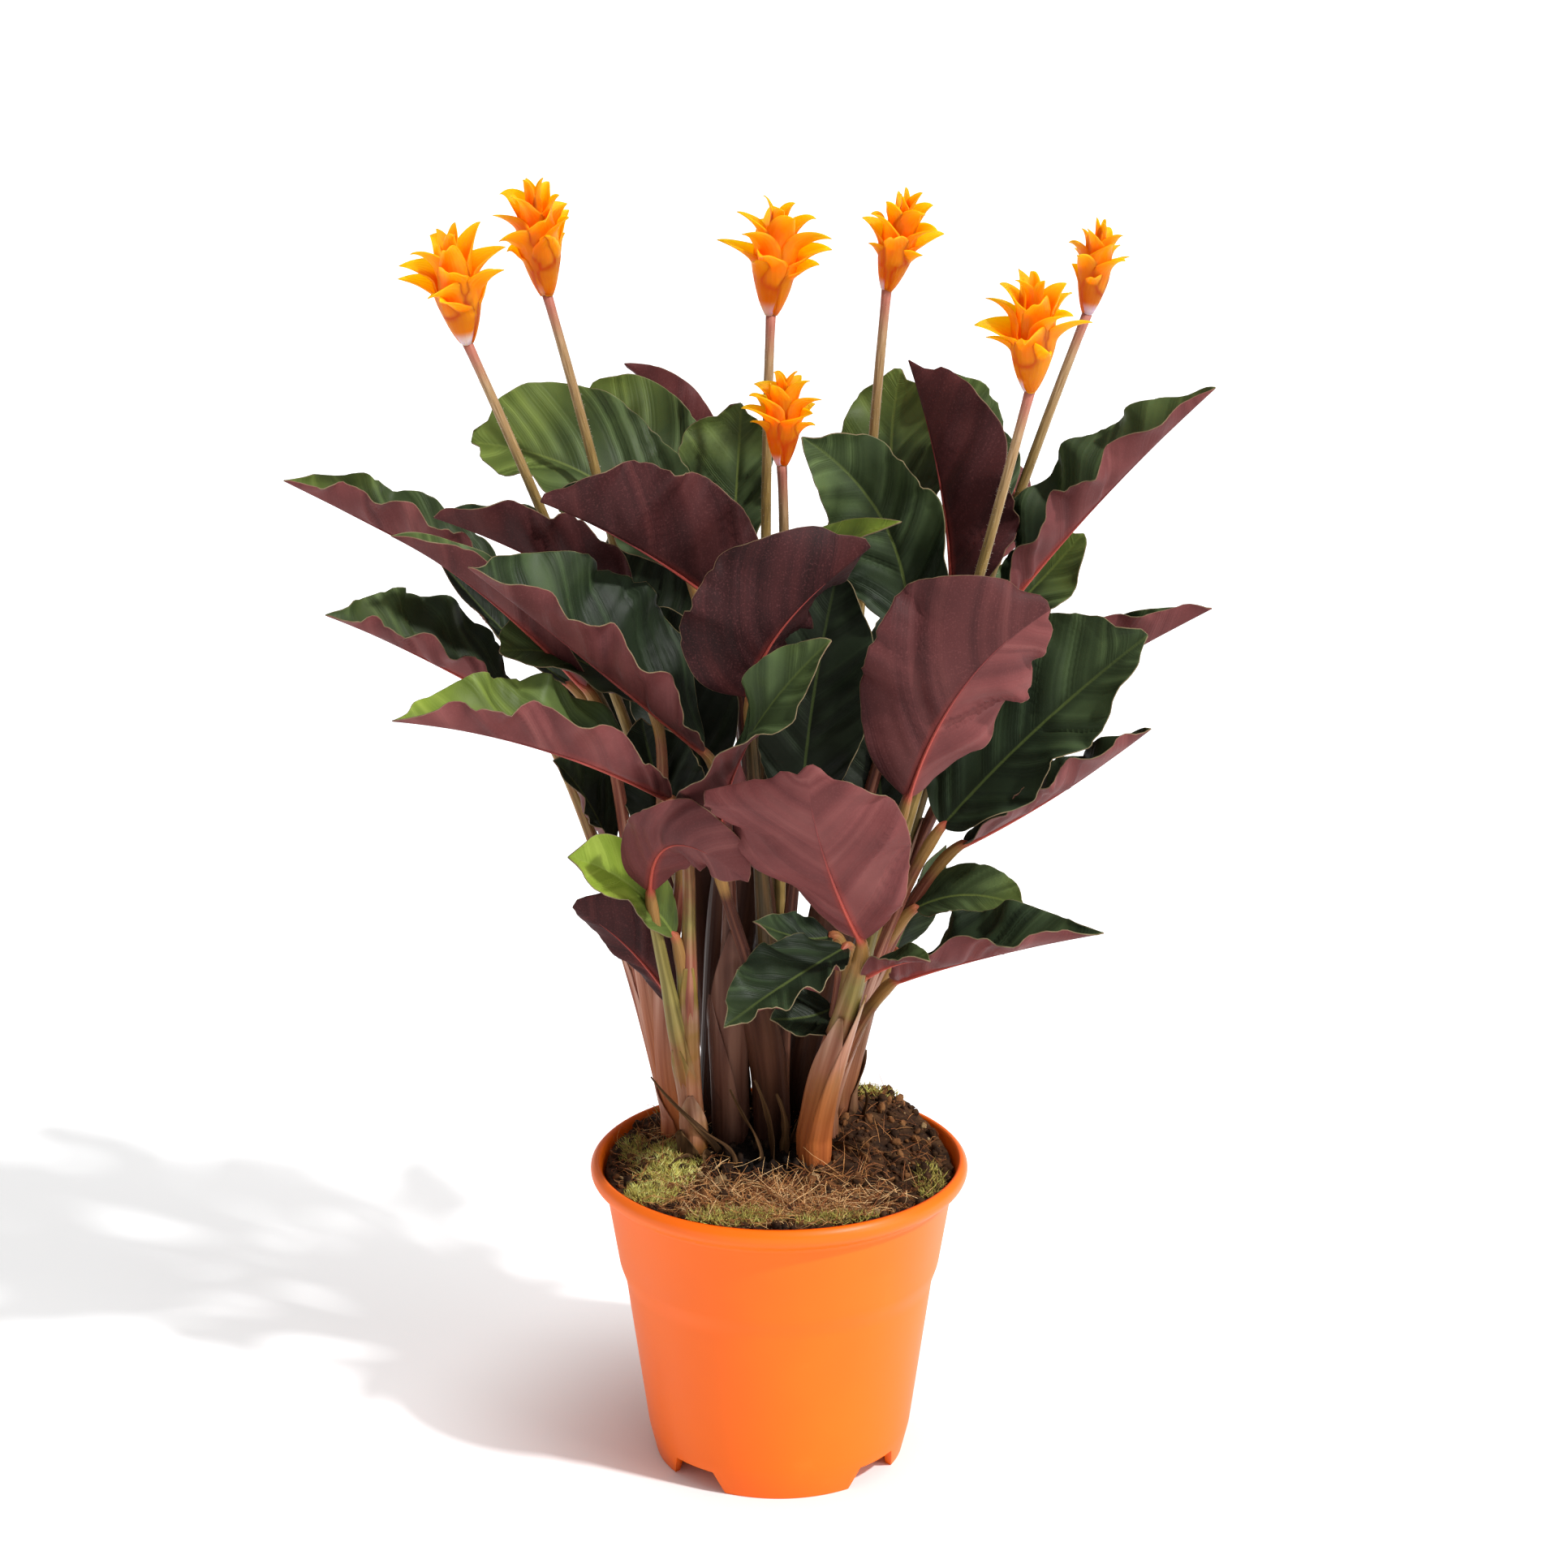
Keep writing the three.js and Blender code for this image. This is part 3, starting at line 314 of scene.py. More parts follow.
                (26, 18, 0.55), (14, 18, 0.55), (2.9, 3, 0.2), 0.52, blunt=3.4),
            yellow=leaf((-28, 105, 324), (-46, 118, 358), (-75, 126, 382), (0.3, -0.7, 0.6),
                (20, 20), (19, 20, 0.55), (3.1, 3, 0.1), 0.55, blunt=3.4),
            wine=leaf((-21, 128, 324), (-37, 140, 362), (-60, 146, 387), (0.3, 0.8, 0.4),
                (13, 30), (12, 30), (3.1, 3, 0.3), 0.3, blunt=2.8, deep=0.5),
            shade=leaf((-12, 76, 262), (-15, 100, 296), (-22, 122, 320), (0.1, -0.8, 0.5),
                (20, 15, 0.5), (20, 15, 0.5), (3.1, 3, 0.1), 0.15),
        ),
        flowers=dict(
            flower_3=bloom_place((-3, 70, 420), (0, 70, 462), (-7, 60, 330), 1.05),
        ),
    ),
    "shoot_back_middle": dict(
        foot=(6, 30), lean=(3, 0), dark=0.85, green=0.4,
        sheaths=[(128, 6.2, 10, 220, -100, 0.15, 0.1, 0.6), (36, 6.0, 6.2, 170, 0, 0.6, 0.0, 0.05)],
        leaves=dict(
            near=leaf((47, 25, 312), (37, 30, 353), (7, 15, 387), (-0.2, -0.85, 0.45),
                (24, 18), (22, 18), (3.6, 3, 0), 0.42, blunt=2.8),
            shade=leaf((38, 24, 239), (36, 26, 265), (33, 28, 292), (-0.1, -0.9, 0.3),
                (15, 15, 0.5), (15, 15, 0.5), (1.4, 3, 0.3), 0.12),
        ),
    ),
    "shoot_right": dict(
        foot=(21, 31), lean=(6, 0), dark=0.65, green=0.6,
        sheaths=[(68, 5.4, 5.4, 250, -30, 0.1, 0.4, 0.1), (30, 6.0, 6.2, 180, 20, 0.5, 0.2, 0.05)],
        leaves=dict(
            high=leaf((81, 20, 322), (113, 15, 362), (154, 5, 407), (-0.3, 0, 1),
                (28, 38), (16, 45), (4.2, 4, 0.1), 0.45, deep=0.2),
            far=leaf((77, 26, 274), (113, 20, 298), (157, 10, 326), (-0.1, 0, 1),
                (17, 60), (20, 62), (3.1, 4, 0.2), 0.35, deep=0.2),
            upright=leaf((64, 42, 320), (59, 44, 362), (47, 55, 406), (0.95, 0, 0.2),
                (28, 58, 0.4, BLADE_SHOULDER, 5), (32, 58, 0.62), (3.9, 3, 0.3), 0.5,
                blunt=3, deep=0.75),
        ),
        flowers=dict(
            flower_6=bloom_place((111, 50, 424), (116, 50, 458), (76, 43, 331), 0.75),
        ),
    ),
    "shoot_back_right": dict(
        foot=(14, 46), lean=(3, 3), dark=0.9, green=0.4,
        sheaths=[(124, 6.2, 10, 220, -100, 0.1, 0.1, 0.6), (28, 6.0, 6.4, 180, 100, 0.7, 0.0, 0.05)],
        leaves=dict(
            far=leaf((49, 68, 327), (42, 82, 361), (46, 92, 397), (-0.3, -0.9, 0.3),
                (20, 12, 0.45), (22, 12, 0.5), (3.4, 3, 0.2), 0.55, blunt=3.2),
            green=leaf((76, 66, 299), (95, 72, 316), (115, 76, 338), (0, -0.6, 0.8),
                (16, 10), (16, 10), (1.8, 3, 0.4), 0.55, blunt=2.8),
            fold=leaf((83, 96, 322), (89, 104, 342), (88, 112, 357), (0, 0.9, 0.3),
                (9, 20), (9, 20), (1, 2, 0.1), 0.4),
            shade=leaf((38, 84, 250), (52, 108, 280), (62, 132, 298), (-0.2, -0.7, 0.6),
                (19, 15, 0.5), (20, 15, 0.5), (3.1, 3, 0.4), 0.15),
        ),
        flowers=dict(
            flower_4=bloom_place((39, 60, 431), (47, 55, 467), (30, 62, 330), 0.87),
        ),
    ),
}


# ---------------------------------------------------------------- numbers and vectors
def unit(v):
    """v, or each row of v, at length 1."""
    return v / np.maximum(np.linalg.norm(v, axis=-1, keepdims=True), 1e-9)


def smooth(x):
    """0 below 0, 1 above 1 and an even step between."""
    k = np.clip(x, 0, 1)
    return k * k * (3 - 2 * k)


def lerp(a, b, k):
    return a + (b - a) * k


def wave(turns):
    return np.sin(2 * math.pi * turns)


def circle(sides):
    """Even turns round a whole circle, in radians."""
    return 2 * math.pi * np.arange(sides) / sides


def pair(a, b, like):
    """A map with the numbers a and b for each point of a grid."""
    return np.stack(np.broadcast_arrays(a, b, like)[:2], -1)


def bezier(points, k):
    """Points of a Bezier curve through its first and last control points, at the shares k."""
    k = np.asarray(k, float)[:, None]
    order = len(points) - 1
    total = 0
    for i, p in enumerate(points):
        total = total + math.comb(order, i) * (1 - k) ** (order - i) * k ** i * np.asarray(p, float)
    return total


def along_path(path):
    return np.concatenate([[0], np.cumsum(np.linalg.norm(np.diff(path, axis=0), axis=1))])


def path_frames(path):
    """Directions along a path and two directions across it that turn no more than they must."""
    ahead = unit(np.gradient(path, axis=0))
    side = np.array([1.0, 0, 0])
    sides = []
    for direction in ahead:
        side = side - direction * (side @ direction)
        side = side / np.linalg.norm(side)
        sides.append(side)
    sides = np.array(sides)
    return ahead, sides, np.cross(ahead, sides)


def outward(side, other, turn):
    """Directions across a path, for each row of turns from side toward other."""
    return np.cos(turn)[..., None] * side[:, None, :] + np.sin(turn)[..., None] * other[:, None, :]


def soil_level(x, y):
    """Height of the soil before its roughness."""
    level = SOIL_EDGE
    for middle_x, middle_y, spread, rise in MOUNDS:
        away = np.hypot(x - middle_x, y - middle_y) / spread
        level = level + rise * np.exp(-away * away / 2)
    return level


def roughness_at(x, y, size, seed=0.0):
    """Even noise between about -1 and 1 with bumps of that size."""
    return noise.fractal(Vector((x / size, y / size, seed)), 0.9, 2.1, 4)


# ---------------------------------------------------------------- meshes
def placed(name, data):
    """A new object with that data, in the scene."""
    thing = bpy.data.objects.new(name, data)
    bpy.context.scene.collection.objects.link(thing)
    return thing


class Skin:
    """Collects points, faces and maps, and makes one mesh piece of them."""

    def __init__(self):
        self.points = []
        self.faces = []
        self.kinds = []
        self.maps = {}
        self.count = 0

    def add(self, points, groups, maps=None):
        """groups is a list of (faces, material number); maps gives two numbers for each point."""
        points = np.asarray(points, float).reshape(-1, 3)
        for faces, kind in groups:
            rows = (np.asarray(faces) + self.count).tolist()
            self.faces.extend(rows)
            self.kinds.extend([kind] * len(rows))
        for name, values in (maps or {}).items():
            self.maps.setdefault(name, []).append(np.asarray(values, float).reshape(-1, 2))
        self.points.append(points)
        self.count += len(points)

    def mesh(self, name):
        mesh = bpy.data.meshes.new(name)
        mesh.from_pydata((np.concatenate(self.points) * MM).tolist(), [], self.faces)
        return mesh

    def make(self, name, materials, stands_for=()):
        """The mesh piece, riding on the plant and standing for those nodes of the plain model."""
        mesh = self.mesh(name)
        for material in materials:
            mesh.materials.append(material)
        mesh.polygons.foreach_set("material_index", self.kinds)
        mesh.polygons.foreach_set("use_smooth", [True] * len(self.faces))
        corners = np.empty(len(mesh.loops), int)
        mesh.loops.foreach_get("vertex_index", corners)
        for map_name, values in self.maps.items():
            layer = mesh.uv_layers.new(name=map_name)
            layer.data.foreach_set("uv", np.concatenate(values)[corners].ravel())
        mesh.update()
        piece = placed(name, mesh)
        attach(piece, "root")
        if stands_for:
            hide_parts(*stands_for)
        return piece


def grid(rows, columns, start=0, flip=False, ring=False):
    """Quads over a grid of points whose second direction turns anticlockwise round the first."""
    r = np.arange(rows - 1)[:, None]
    c = np.arange(columns if ring else columns - 1)[None, :]
    a = start + r * columns + c
    b = start + r * columns + (c + 1) % columns
    quads = np.stack([a, b, b + columns, a + columns], -1).reshape(-1, 4)
    return quads[:, [0, 3, 2, 1]] if flip else quads


def rim_faces(rows, columns):
    """Faces round the edge of a sheet, between its upper and its under skin."""
    under = rows * columns
    edge = list(range(columns))
    edge += [i * columns + columns - 1 for i in range(1, rows)]
    edge += [(rows - 1) * columns + j for j in range(columns - 2, -1, -1)]
    edge += [i * columns for i in range(rows - 2, 0, -1)]
    return np.array([(b, a, under + a, under + b) for a, b in zip(edge, edge[1:] + edge[:1])])


def shell(skin, sheet, half_thick, maps, kinds=(0, 1, 2)):
    """Adds a thin closed sheet; sheet is rows x columns x 3, thickness may vary over it."""
    rows, columns = sheet.shape[:2]
    normal = unit(np.cross(np.gradient(sheet, axis=1), np.gradient(sheet, axis=0)))
    offset = normal * np.broadcast_to(half_thick, (rows, columns))[..., None]
    upper = grid(rows, columns)
    under = grid(rows, columns, rows * columns, flip=True)
    skin.add(
        np.concatenate([(sheet + offset).reshape(-1, 3), (sheet - offset).reshape(-1, 3)]),
        list(zip((upper, under, rim_faces(rows, columns)), kinds)),
        {name: np.concatenate([values.reshape(-1, 2)] * 2) for name, values in maps.items()},
    )


def closed_rings(skin, rings, start, end, kind=0, maps=None):
    """Adds rings of points, one after another, closed at each end by a fan round a middle point."""
    rows, sides = rings.shape[:2]
    first = rows * sides
    last = first - sides
    k = np.arange(sides)
    beside = (k + 1) % sides
    low = np.stack([np.full(sides, first), beside, k], -1)
    high = np.stack([np.full(sides, first + 1), last + k, last + beside], -1)
    points = np.concatenate([rings.reshape(-1, 3), [start, end]])
    skin.add(points, [(grid(rows, sides, ring=True), kind), (low, kind), (high, kind)], maps)


def tube(skin, path, radii, sides, maps, kind=0):
    """Adds a closed round tube along path; the second number of its stem map runs round it."""
    path = np.asarray(path, float)
    _, side, other = path_frames(path)
    rings = path[:, None, :] + radii[:, None, None] * outward(side, other, circle(sides)[None, :])
    full = {}
    for name, values in maps.items():
        spread = np.repeat(values[:, None, :], sides, 1)
        if name == "stem":
            spread[..., 1] = np.arange(sides) / sides
        full[name] = np.concatenate([spread.reshape(-1, 2), values[:1], values[-1:]])
    closed_rings(skin, rings, path[0], path[-1], kind, full)


def add_spike(skin, root, tip, radius, tone):
    """A three-sided point."""
    ahead = unit(tip - root)
    side = unit(np.cross(ahead, [0.3, 0.5, 0.81]))
    other = np.cross(ahead, side)
    ring = [root + radius * (math.cos(a) * side + math.sin(a) * other) for a in circle(3)]
    faces = [(0, 1, 3), (1, 2, 3), (2, 0, 3), (2, 1, 0)]
    skin.add([*ring, tip], [(faces, 0)], dict(strand=[(0, tone)] * 3 + [(1, tone)]))


# ---------------------------------------------------------------- material nodes
def colour(code):
    """A hex colour such as "ff802a" as linear values."""
    out = []
    for k in range(3):
        v = int(code[2 * k:2 * k + 2], 16) / 255
        out.append(v / 12.92 if v <= 0.04045 else ((v + 0.055) / 1.055) ** 2.4)
    return (*out, 1)


class Value:
    """What a node gives. Each sign that it is reckoned with adds a math node."""

    def __init__(self, nodes, socket):
        self.nodes = nodes
        self.socket = socket

    def __add__(self, other):
        return self.nodes.math("ADD", self, other)

    def __sub__(self, other):
        return self.nodes.math("SUBTRACT", self, other)

    def __rsub__(self, other):
        return self.nodes.math("SUBTRACT", other, self)

    def __mul__(self, other):
        return self.nodes.math("MULTIPLY", self, other)

    def __pow__(self, other):
        return self.nodes.math("POWER", self, other)


class Nodes:
    """One material, and short names for the nodes that it is made of."""

    def __init__(self, name):
        self.material = bpy.data.materials.new(name)
        self.material.use_nodes = True
        self.tree = self.material.node_tree
        self.shader = self.tree.nodes["Principled BSDF"]

    def link(self, value, socket):
        """Fills a socket with a Value, a number, a colour or a hex colour."""
        if isinstance(value, Value):
            self.tree.links.new(value.socket, socket)
        else:
            socket.default_value = colour(value) if isinstance(value, str) else value

    def node(self, kind, inputs, output=0, **settings):
        """A new node with its settings and inputs, as the value that it gives."""
        node = self.tree.nodes.new("ShaderNode" + kind)
        for name, setting in settings.items():
            setattr(node, name, setting)
        for key, value in inputs.items():
            self.link(value, node.inputs[key])
        return Value(self, node.outputs[output])

    def place(self):
        return self.node("TexCoord", {}, "Object")

    def split(self, vector):
        """The three parts of a vector."""
        node = self.node("SeparateXYZ", {0: vector}).socket.node
        return [Value(self, part) for part in node.outputs]

    def map(self, name):
        """The two numbers of a map."""
        return self.split(self.node("UVMap", {}, uv_map=name))[:2]

    def vector(self, x, y, z=0.0):
        return self.node("CombineXYZ", {0: x, 1: y, 2: z})

    def noise(self, place, scale, detail=3.0, rough=0.55):
        return self.node("TexNoise", dict(Vector=place, Scale=scale, Detail=detail, Roughness=rough), "Fac")

    def math(self, how, a, b=0.0):
        return self.node("Math", {0: a, 1: b}, operation=how)

    def half_wave(self, phase):
        """0 to 1 and back for each whole number of phase."""
        sine = self.math("SINE", phase * (2 * math.pi))
        return self.node("Math", {0: sine, 1: 0.5, 2: 0.5}, operation="MULTIPLY_ADD")

    def away(self, x, y):
        """Distance from the origin."""
        return self.math("SQRT", x ** 2.0 + y ** 2.0)

    def fade(self, value, start, end, low=0.0, high=1.0):
        """low where value is at start, high where it is at end, an even step between."""
        inputs = dict(enumerate((value, start, end, low, high)))
        return self.node("MapRange", inputs, interpolation_type="SMOOTHSTEP")

    def fade_mm(self, distance, start, end, low, high):
        """The same over a distance map, with start and end in millimetres."""
        return self.fade(distance, start / LATERAL_SCALE, end / LATERAL_SCALE, low, high)

    def mix(self, share, a, b):
        return self.node("Mix", {0: share, 6: a, 7: b}, 2, data_type="RGBA")

    def ramp(self, value, *stops):
        made = self.node("ValToRGB", {0: value})
        ramp = made.socket.node.color_ramp
        while len(ramp.elements) < len(stops):
            ramp.elements.new(0.5)
        for element, (at, tint) in zip(ramp.elements, stops):
            element.position = at
            element.color = colour(tint)
        return made

    def bump(self, height, distance, strength, **under):
        """Relief of that height in metres; under may give a Normal to lay it on."""
        return self.node("Bump", dict(Strength=strength, Distance=distance, Height=height, **under))

    def finish(self, body, roughness, specular, **more):
        """The material with those values of its surface, and any others by name."""
        inputs = dict(Base_Color=body, Roughness=roughness, Specular_IOR_Level=specular, **more)
        for name, value in inputs.items():
            self.link(value, self.shader.inputs[name.replace("_", " ")])
        return self.material


# ---------------------------------------------------------------- materials
def streaks(n, phase, lateral, fine):
    """Uneven stripes along the lateral veins, fine of them to a vein."""
    return n.noise(n.vector(phase * fine, lateral * 0.5), 1.0, 0.6, 0.4)


def leaf_upper():
    """Velvety dark green with paler bands along the lateral veins and a pale margin."""
    n = Nodes("leaf_upper")
    along, _ = n.map("blade")
    phase, lateral = n.map("vein")
    margin, tone = n.map("kind")
    place = n.place()
    cloud = n.noise(place, 42, 4)
    green = tone * n.fade(along, 0.1, 0.95, 0.66, 1.34) + (cloud - 0.5) * 0.35
    deep = n.ramp(green, (0.0, "11140b"), (0.3, "1d2718"), (0.55, "374426"), (0.8, "566529"), (1.0, "7c9030"))
    pale = n.ramp(green, (0.0, "1e2417"), (0.3, "38472f"), (0.55, "5b6d42"), (0.8, "76873c"), (1.0, "9bac48"))
    band = n.half_wave(phase) ** 1.6 * n.fade(streaks(n, phase, lateral, 1.2), 0.36, 0.62, 0.25, 1.1)
    body = n.mix(band * n.fade_mm(lateral, 0.6, 5, 0.0, 1.0) * 0.7, deep, pale)
    fine = streaks(n, phase, lateral, 9)
    body = n.mix(n.fade(fine, 0.45, 0.7, 0.0, 0.16), body, pale)
    rib = n.fade_mm(lateral, 0.25, 0.8, 0.5, 0.0) * n.fade(along, 0.4, 0.95, 1.0, 0.3)
    body = n.mix(rib, body, n.ramp(green, (0.0, "46552d"), (1.0, "93a24c")))
    body = n.mix(n.fade_mm(margin, 0.05, 0.3, 0.5, 0.0), body, "8a7e58")
    relief = n.bump(fine, 0.0004, 0.6, Normal=n.bump(n.noise(place, 2600, 2), 0.00008, 0.5))
    return n.finish(body, n.fade(cloud, 0.3, 0.7, 0.45, 0.6), 0.16, Normal=relief)


def leaf_under():
    """Wine red underside with soft pleats, lighter and browner by turns."""
    n = Nodes("leaf_under")
    along, painted_shade = n.map("blade")
    phase, lateral = n.map("vein")
    margin, _ = n.map("kind")
    place = n.place()
    fine = streaks(n, phase, lateral, 9)
    # broad stripes along the veins: partly the leaf's own colour, partly painted shade in the pleat valleys
    value = streaks(n, phase, lateral, 1.3) * 0.5 + n.noise(place, 45, 4) * 0.3 + fine * 0.2
    # lit and dim copies of the wine red, mixed by each leaf's painted shade from the blade map
    lit = n.ramp(value, (0.33, "592e2e"), (0.5, "713c3b"), (0.66, "864f4c"))
    dim = n.ramp(value, (0.33, "180a0a"), (0.5, "2b1213"), (0.66, "421c1b"))
    body = n.mix(painted_shade, lit, dim)
    body = n.mix(n.fade(fine, 0.42, 0.65, 0.0, 0.2), body, "35161a")
    speckle = n.noise(place, 1500, 3)
    body = n.mix(n.fade(speckle, 0.5, 0.75, 0.0, 0.2), body, "8a5352")
    # painted light: a red glow beside the midrib toward the base, as of light shining through the blade
    glow = n.fade_mm(lateral, 0.6, 3, 0.4, 0.0) * n.fade(along, 0.1, 0.6, 1.0, 0.0)
    body = n.mix(glow, body, "a04038")
    body = n.mix(n.fade_mm(margin, 0.05, 0.3, 0.5, 0.0), body, "97785c")
    relief = n.bump(fine, 0.00025, 0.5, Normal=n.bump(speckle, 0.0001, 0.5))
    return n.finish(body, n.fade(speckle, 0.3, 0.7, 0.5, 0.64), 0.13, Normal=relief)


def leaf_edge():
    """The pale horny line round a blade."""
    n = Nodes("leaf_edge")
    shade = n.noise(n.place(), 300, 2)
    return n.finish(n.ramp(shade, (0.3, "63543c"), (0.7, "85755a")), 0.6, 0.15)


def stem_skin():
    """Petioles: coral under the blade, an orange joint, olive below, red-brown at the foot."""
    n = Nodes("stem_skin")
    reach, around = n.map("stem")
    height, tone = n.map("stem_kind")
    dark, green = n.map("shoot")
    streak = n.noise(n.vector(around * 11, reach * 2), 1.0, 2, 0.45)
    cloud = n.noise(n.place(), 60, 3)
    olive = n.ramp(streak, (0.25, "675c2c"), (0.5, "877b40"), (0.75, "a19558"))
    blush = n.ramp(streak, (0.3, "743b2e"), (0.5, "93533f"), (0.7, "b07a64"))
    pink = tone + (0.5 - green) * 0.9 + n.fade(height, 0.5, 0.95, 0.45, 0.0)
    body = n.mix(n.fade(pink + (cloud - 0.5), 0.25, 0.75), olive, blush)
    # gloom: deep browns for the inner shoots, painted shade over a deeper brown of their own
    gloom = n.ramp(streak, (0.3, "200f0b"), (0.5, "38190f"), (0.7, "5a3324"))
    body = n.mix(dark * 0.9, body, gloom)
    lit_foot = n.fade(height, 0.15, 0.75, 0.9, 0.0) * (1.0 - dark)
    body = n.mix(lit_foot, body, n.ramp(streak, (0.3, "8c4420"), (0.7, "bd6c36")))
    # painted shade: near black at the feet of the inner shoots, down among the crown
    foot_painted_shade = n.fade(height, 0.15, 0.6, 0.9, 0.0) * n.fade(dark, 0.25, 0.6)
    body = n.mix(foot_painted_shade, body, "0b0504")
    joint = n.ramp(streak, (0.2, "805a2e"), (0.8, "a47c48"))
    body = n.mix(n.fade(reach, -0.2, -0.12), body, joint)
    coral = n.ramp(streak, (0.2, "a03c32"), (0.8, "c25a4c"))
    body = n.mix(n.fade(reach, -0.04, 0.04), body, coral)
    body = n.mix(n.fade(reach, 0.15, 0.65, 0.0, 0.85), body, "6c3234")
    relief = n.bump(n.half_wave(around * 22), 0.00015, 0.3, Normal=n.bump(streak, 0.0008, 0.6))
    return n.finish(body, n.fade(cloud, 0.3, 0.7, 0.4, 0.52), 0.2, Normal=relief)


def sheath_skin():
    """Clasping sheaths: streaked red-brown to olive, brown and papery where they are dry."""
    n = Nodes("sheath_skin")
    up, around = n.map("stem")
    dry, warm = n.map("stem_kind")
    dark, green = n.map("shoot")
    streak = n.noise(n.vector(around * 10, up * 0.8), 1.0, 2, 0.45)
    cloud = n.noise(n.place(), 40, 3)
    fresh = n.ramp(streak, (0.3, "8a5548"), (0.5, "b07f6f"), (0.7, "d0a797"))
    leafy = n.ramp(streak, (0.3, "705c2c"), (0.7, "98803e"))
    fresh = n.mix(n.fade(cloud, 0.4, 0.65, 0.25, 1.0) * green, fresh, leafy)
    # gloom: deep browns for the inner shoots, painted shade over a deeper brown of their own
    gloom = n.ramp(streak, (0.3, "1a0b08"), (0.5, "351a12"), (0.7, "54301f"))
    fresh = n.mix(dark, fresh, gloom)
    foot = n.fade(up, 0.15, 1.0, 0.95, 0.0) * warm
    fresh = n.mix(foot, fresh, n.ramp(streak, (0.3, "86411f"), (0.7, "b76630")))
    # painted shade: near black at the feet of the inner shoots' sheaths, where no orange foot is
    painted_shade = n.fade(up, 0.08, 0.6, 0.9, 0.0) * (dark - warm)
    fresh = n.mix(painted_shade, fresh, "0b0504")
    papery = n.ramp(streak, (0.25, "26190e"), (0.5, "4a331e"), (0.8, "7a5c3a"))
    body = n.mix(n.fade(dry + cloud * 0.4, 0.5, 0.85), fresh, papery)
    relief = n.bump(n.half_wave(around * 30), 0.00015, 0.3, Normal=n.bump(streak, 0.001, 0.6))
    return n.finish(body, n.fade(dry, 0.2, 0.9, 0.48, 0.8), 0.12, Normal=relief)


def stalk_skin():
    """Flower stalks: pinkish under the head, olive-brown lower down."""
    n = Nodes("stalk_skin")
    reach, around = n.map("stem")
    streak = n.noise(n.vector(around * 16, reach * 9), 1.0, 3)
    lower = n.ramp(streak, (0.3, "6a5426"), (0.5, "876c36"), (0.7, "a0854c"))
    upper = n.ramp(streak, (0.3, "86653f"), (0.5, "a28058"), (0.7, "bd9c78"))
    body = n.mix(n.fade(reach, -0.7, -0.1), lower, upper)
    body = n.mix(n.fade(reach, -0.2, -0.01, 0.0, 0.7), body, "a8504c")
    down = dict(Sheen_Weight=0.3, Sheen_Roughness=0.35)
    return n.finish(body, 0.55, 0.35, Normal=n.bump(streak, 0.0003, 0.6), **down)


def bract_skin():
    """Waxy orange bracts, deeper in the cups, with yellower blades and browned tips."""
    n = Nodes("bract_skin")
    along, across = n.map("bract")
    height, tone = n.map("bract_kind")
    cloud = n.noise(n.place(), 110, 3)
    veins = n.half_wave(across * 9)
    shade = along * 0.75 + (cloud - 0.5) * 0.7
    body = n.ramp(shade, (0.0, "f56200"), (0.35, "fc7600"), (0.65, "ff8a04"), (0.9, "ffa518"))
    body = n.mix(veins * 0.1, body, "f87402")
    spot = n.fade(height, 0.03, 0.13, 0.85, 0.0) * n.fade(tone, 0.62, 0.7)
    body = n.mix(spot, body, "ffd2bd")
    body = n.mix(n.fade(along, 0.93, 1.0, 0.0, 0.6), body, "9a6a1a")
    relief = n.bump(veins, 0.00015, 0.35, Normal=n.bump(cloud, 0.0006, 0.4))
    glow = dict(Subsurface_Weight=1.0, Subsurface_Scale=0.006, Subsurface_Radius=(1.0, 0.6, 0.15))
    # the faint emission is painted light, standing in for light that shines through the thin bracts
    return n.finish(body, 0.55, 0.16, Normal=relief, Emission_Color=body, Emission_Strength=0.1, **glow)


def pot_plastic():
    """Satin moulded orange plastic with the faintest mottling and dust."""
    n = Nodes("pot_plastic")
    place = n.place()
    cloud = n.noise(place, 14, 3)
    dust = n.fade(n.noise(place, 55, 5), 0.62, 0.8, 0.0, 0.1)
    body = n.mix(dust, n.ramp(cloud, (0.3, "f16603"), (0.7, "f76e06")), "fb8834")
    relief = n.bump(n.noise(place, 900, 2), 0.00006, 0.35, Normal=n.bump(cloud, 0.0008, 0.2))
    return n.finish(body, n.fade(cloud, 0.3, 0.7, 0.38, 0.48), 0.28, Normal=relief)


def peat(name, dark, middle, light):
    """Crumbly growing medium in three tones, with painted shade that turns it almost black round the crown.
    """
    n = Nodes(name)
    place = n.place()
    x, y, z = n.split(place)
    cloud = n.noise(place, 180, 5, 0.65)
    fibre = n.noise(n.vector(x, y, z * 4), 700, 3)
    body = n.ramp(cloud, (0.3, dark), (0.52, middle), (0.75, light))
    body = n.mix(n.fade(fibre, 0.6, 0.75, 0.0, 0.5), body, "7a5c38")
    # painted shade: almost black round the crown, where the stems shade the soil
    away = n.away(x + 8 * MM, y - 6 * MM)
    body = n.mix(n.fade(away, 18 * MM, 34 * MM, 0.9, 0.0), body, "090605")
    relief = n.bump(cloud, 0.0012, 0.8, Normal=n.bump(fibre, 0.0004, 0.7))
    return n.finish(body, 0.92, 0.2, Normal=relief)


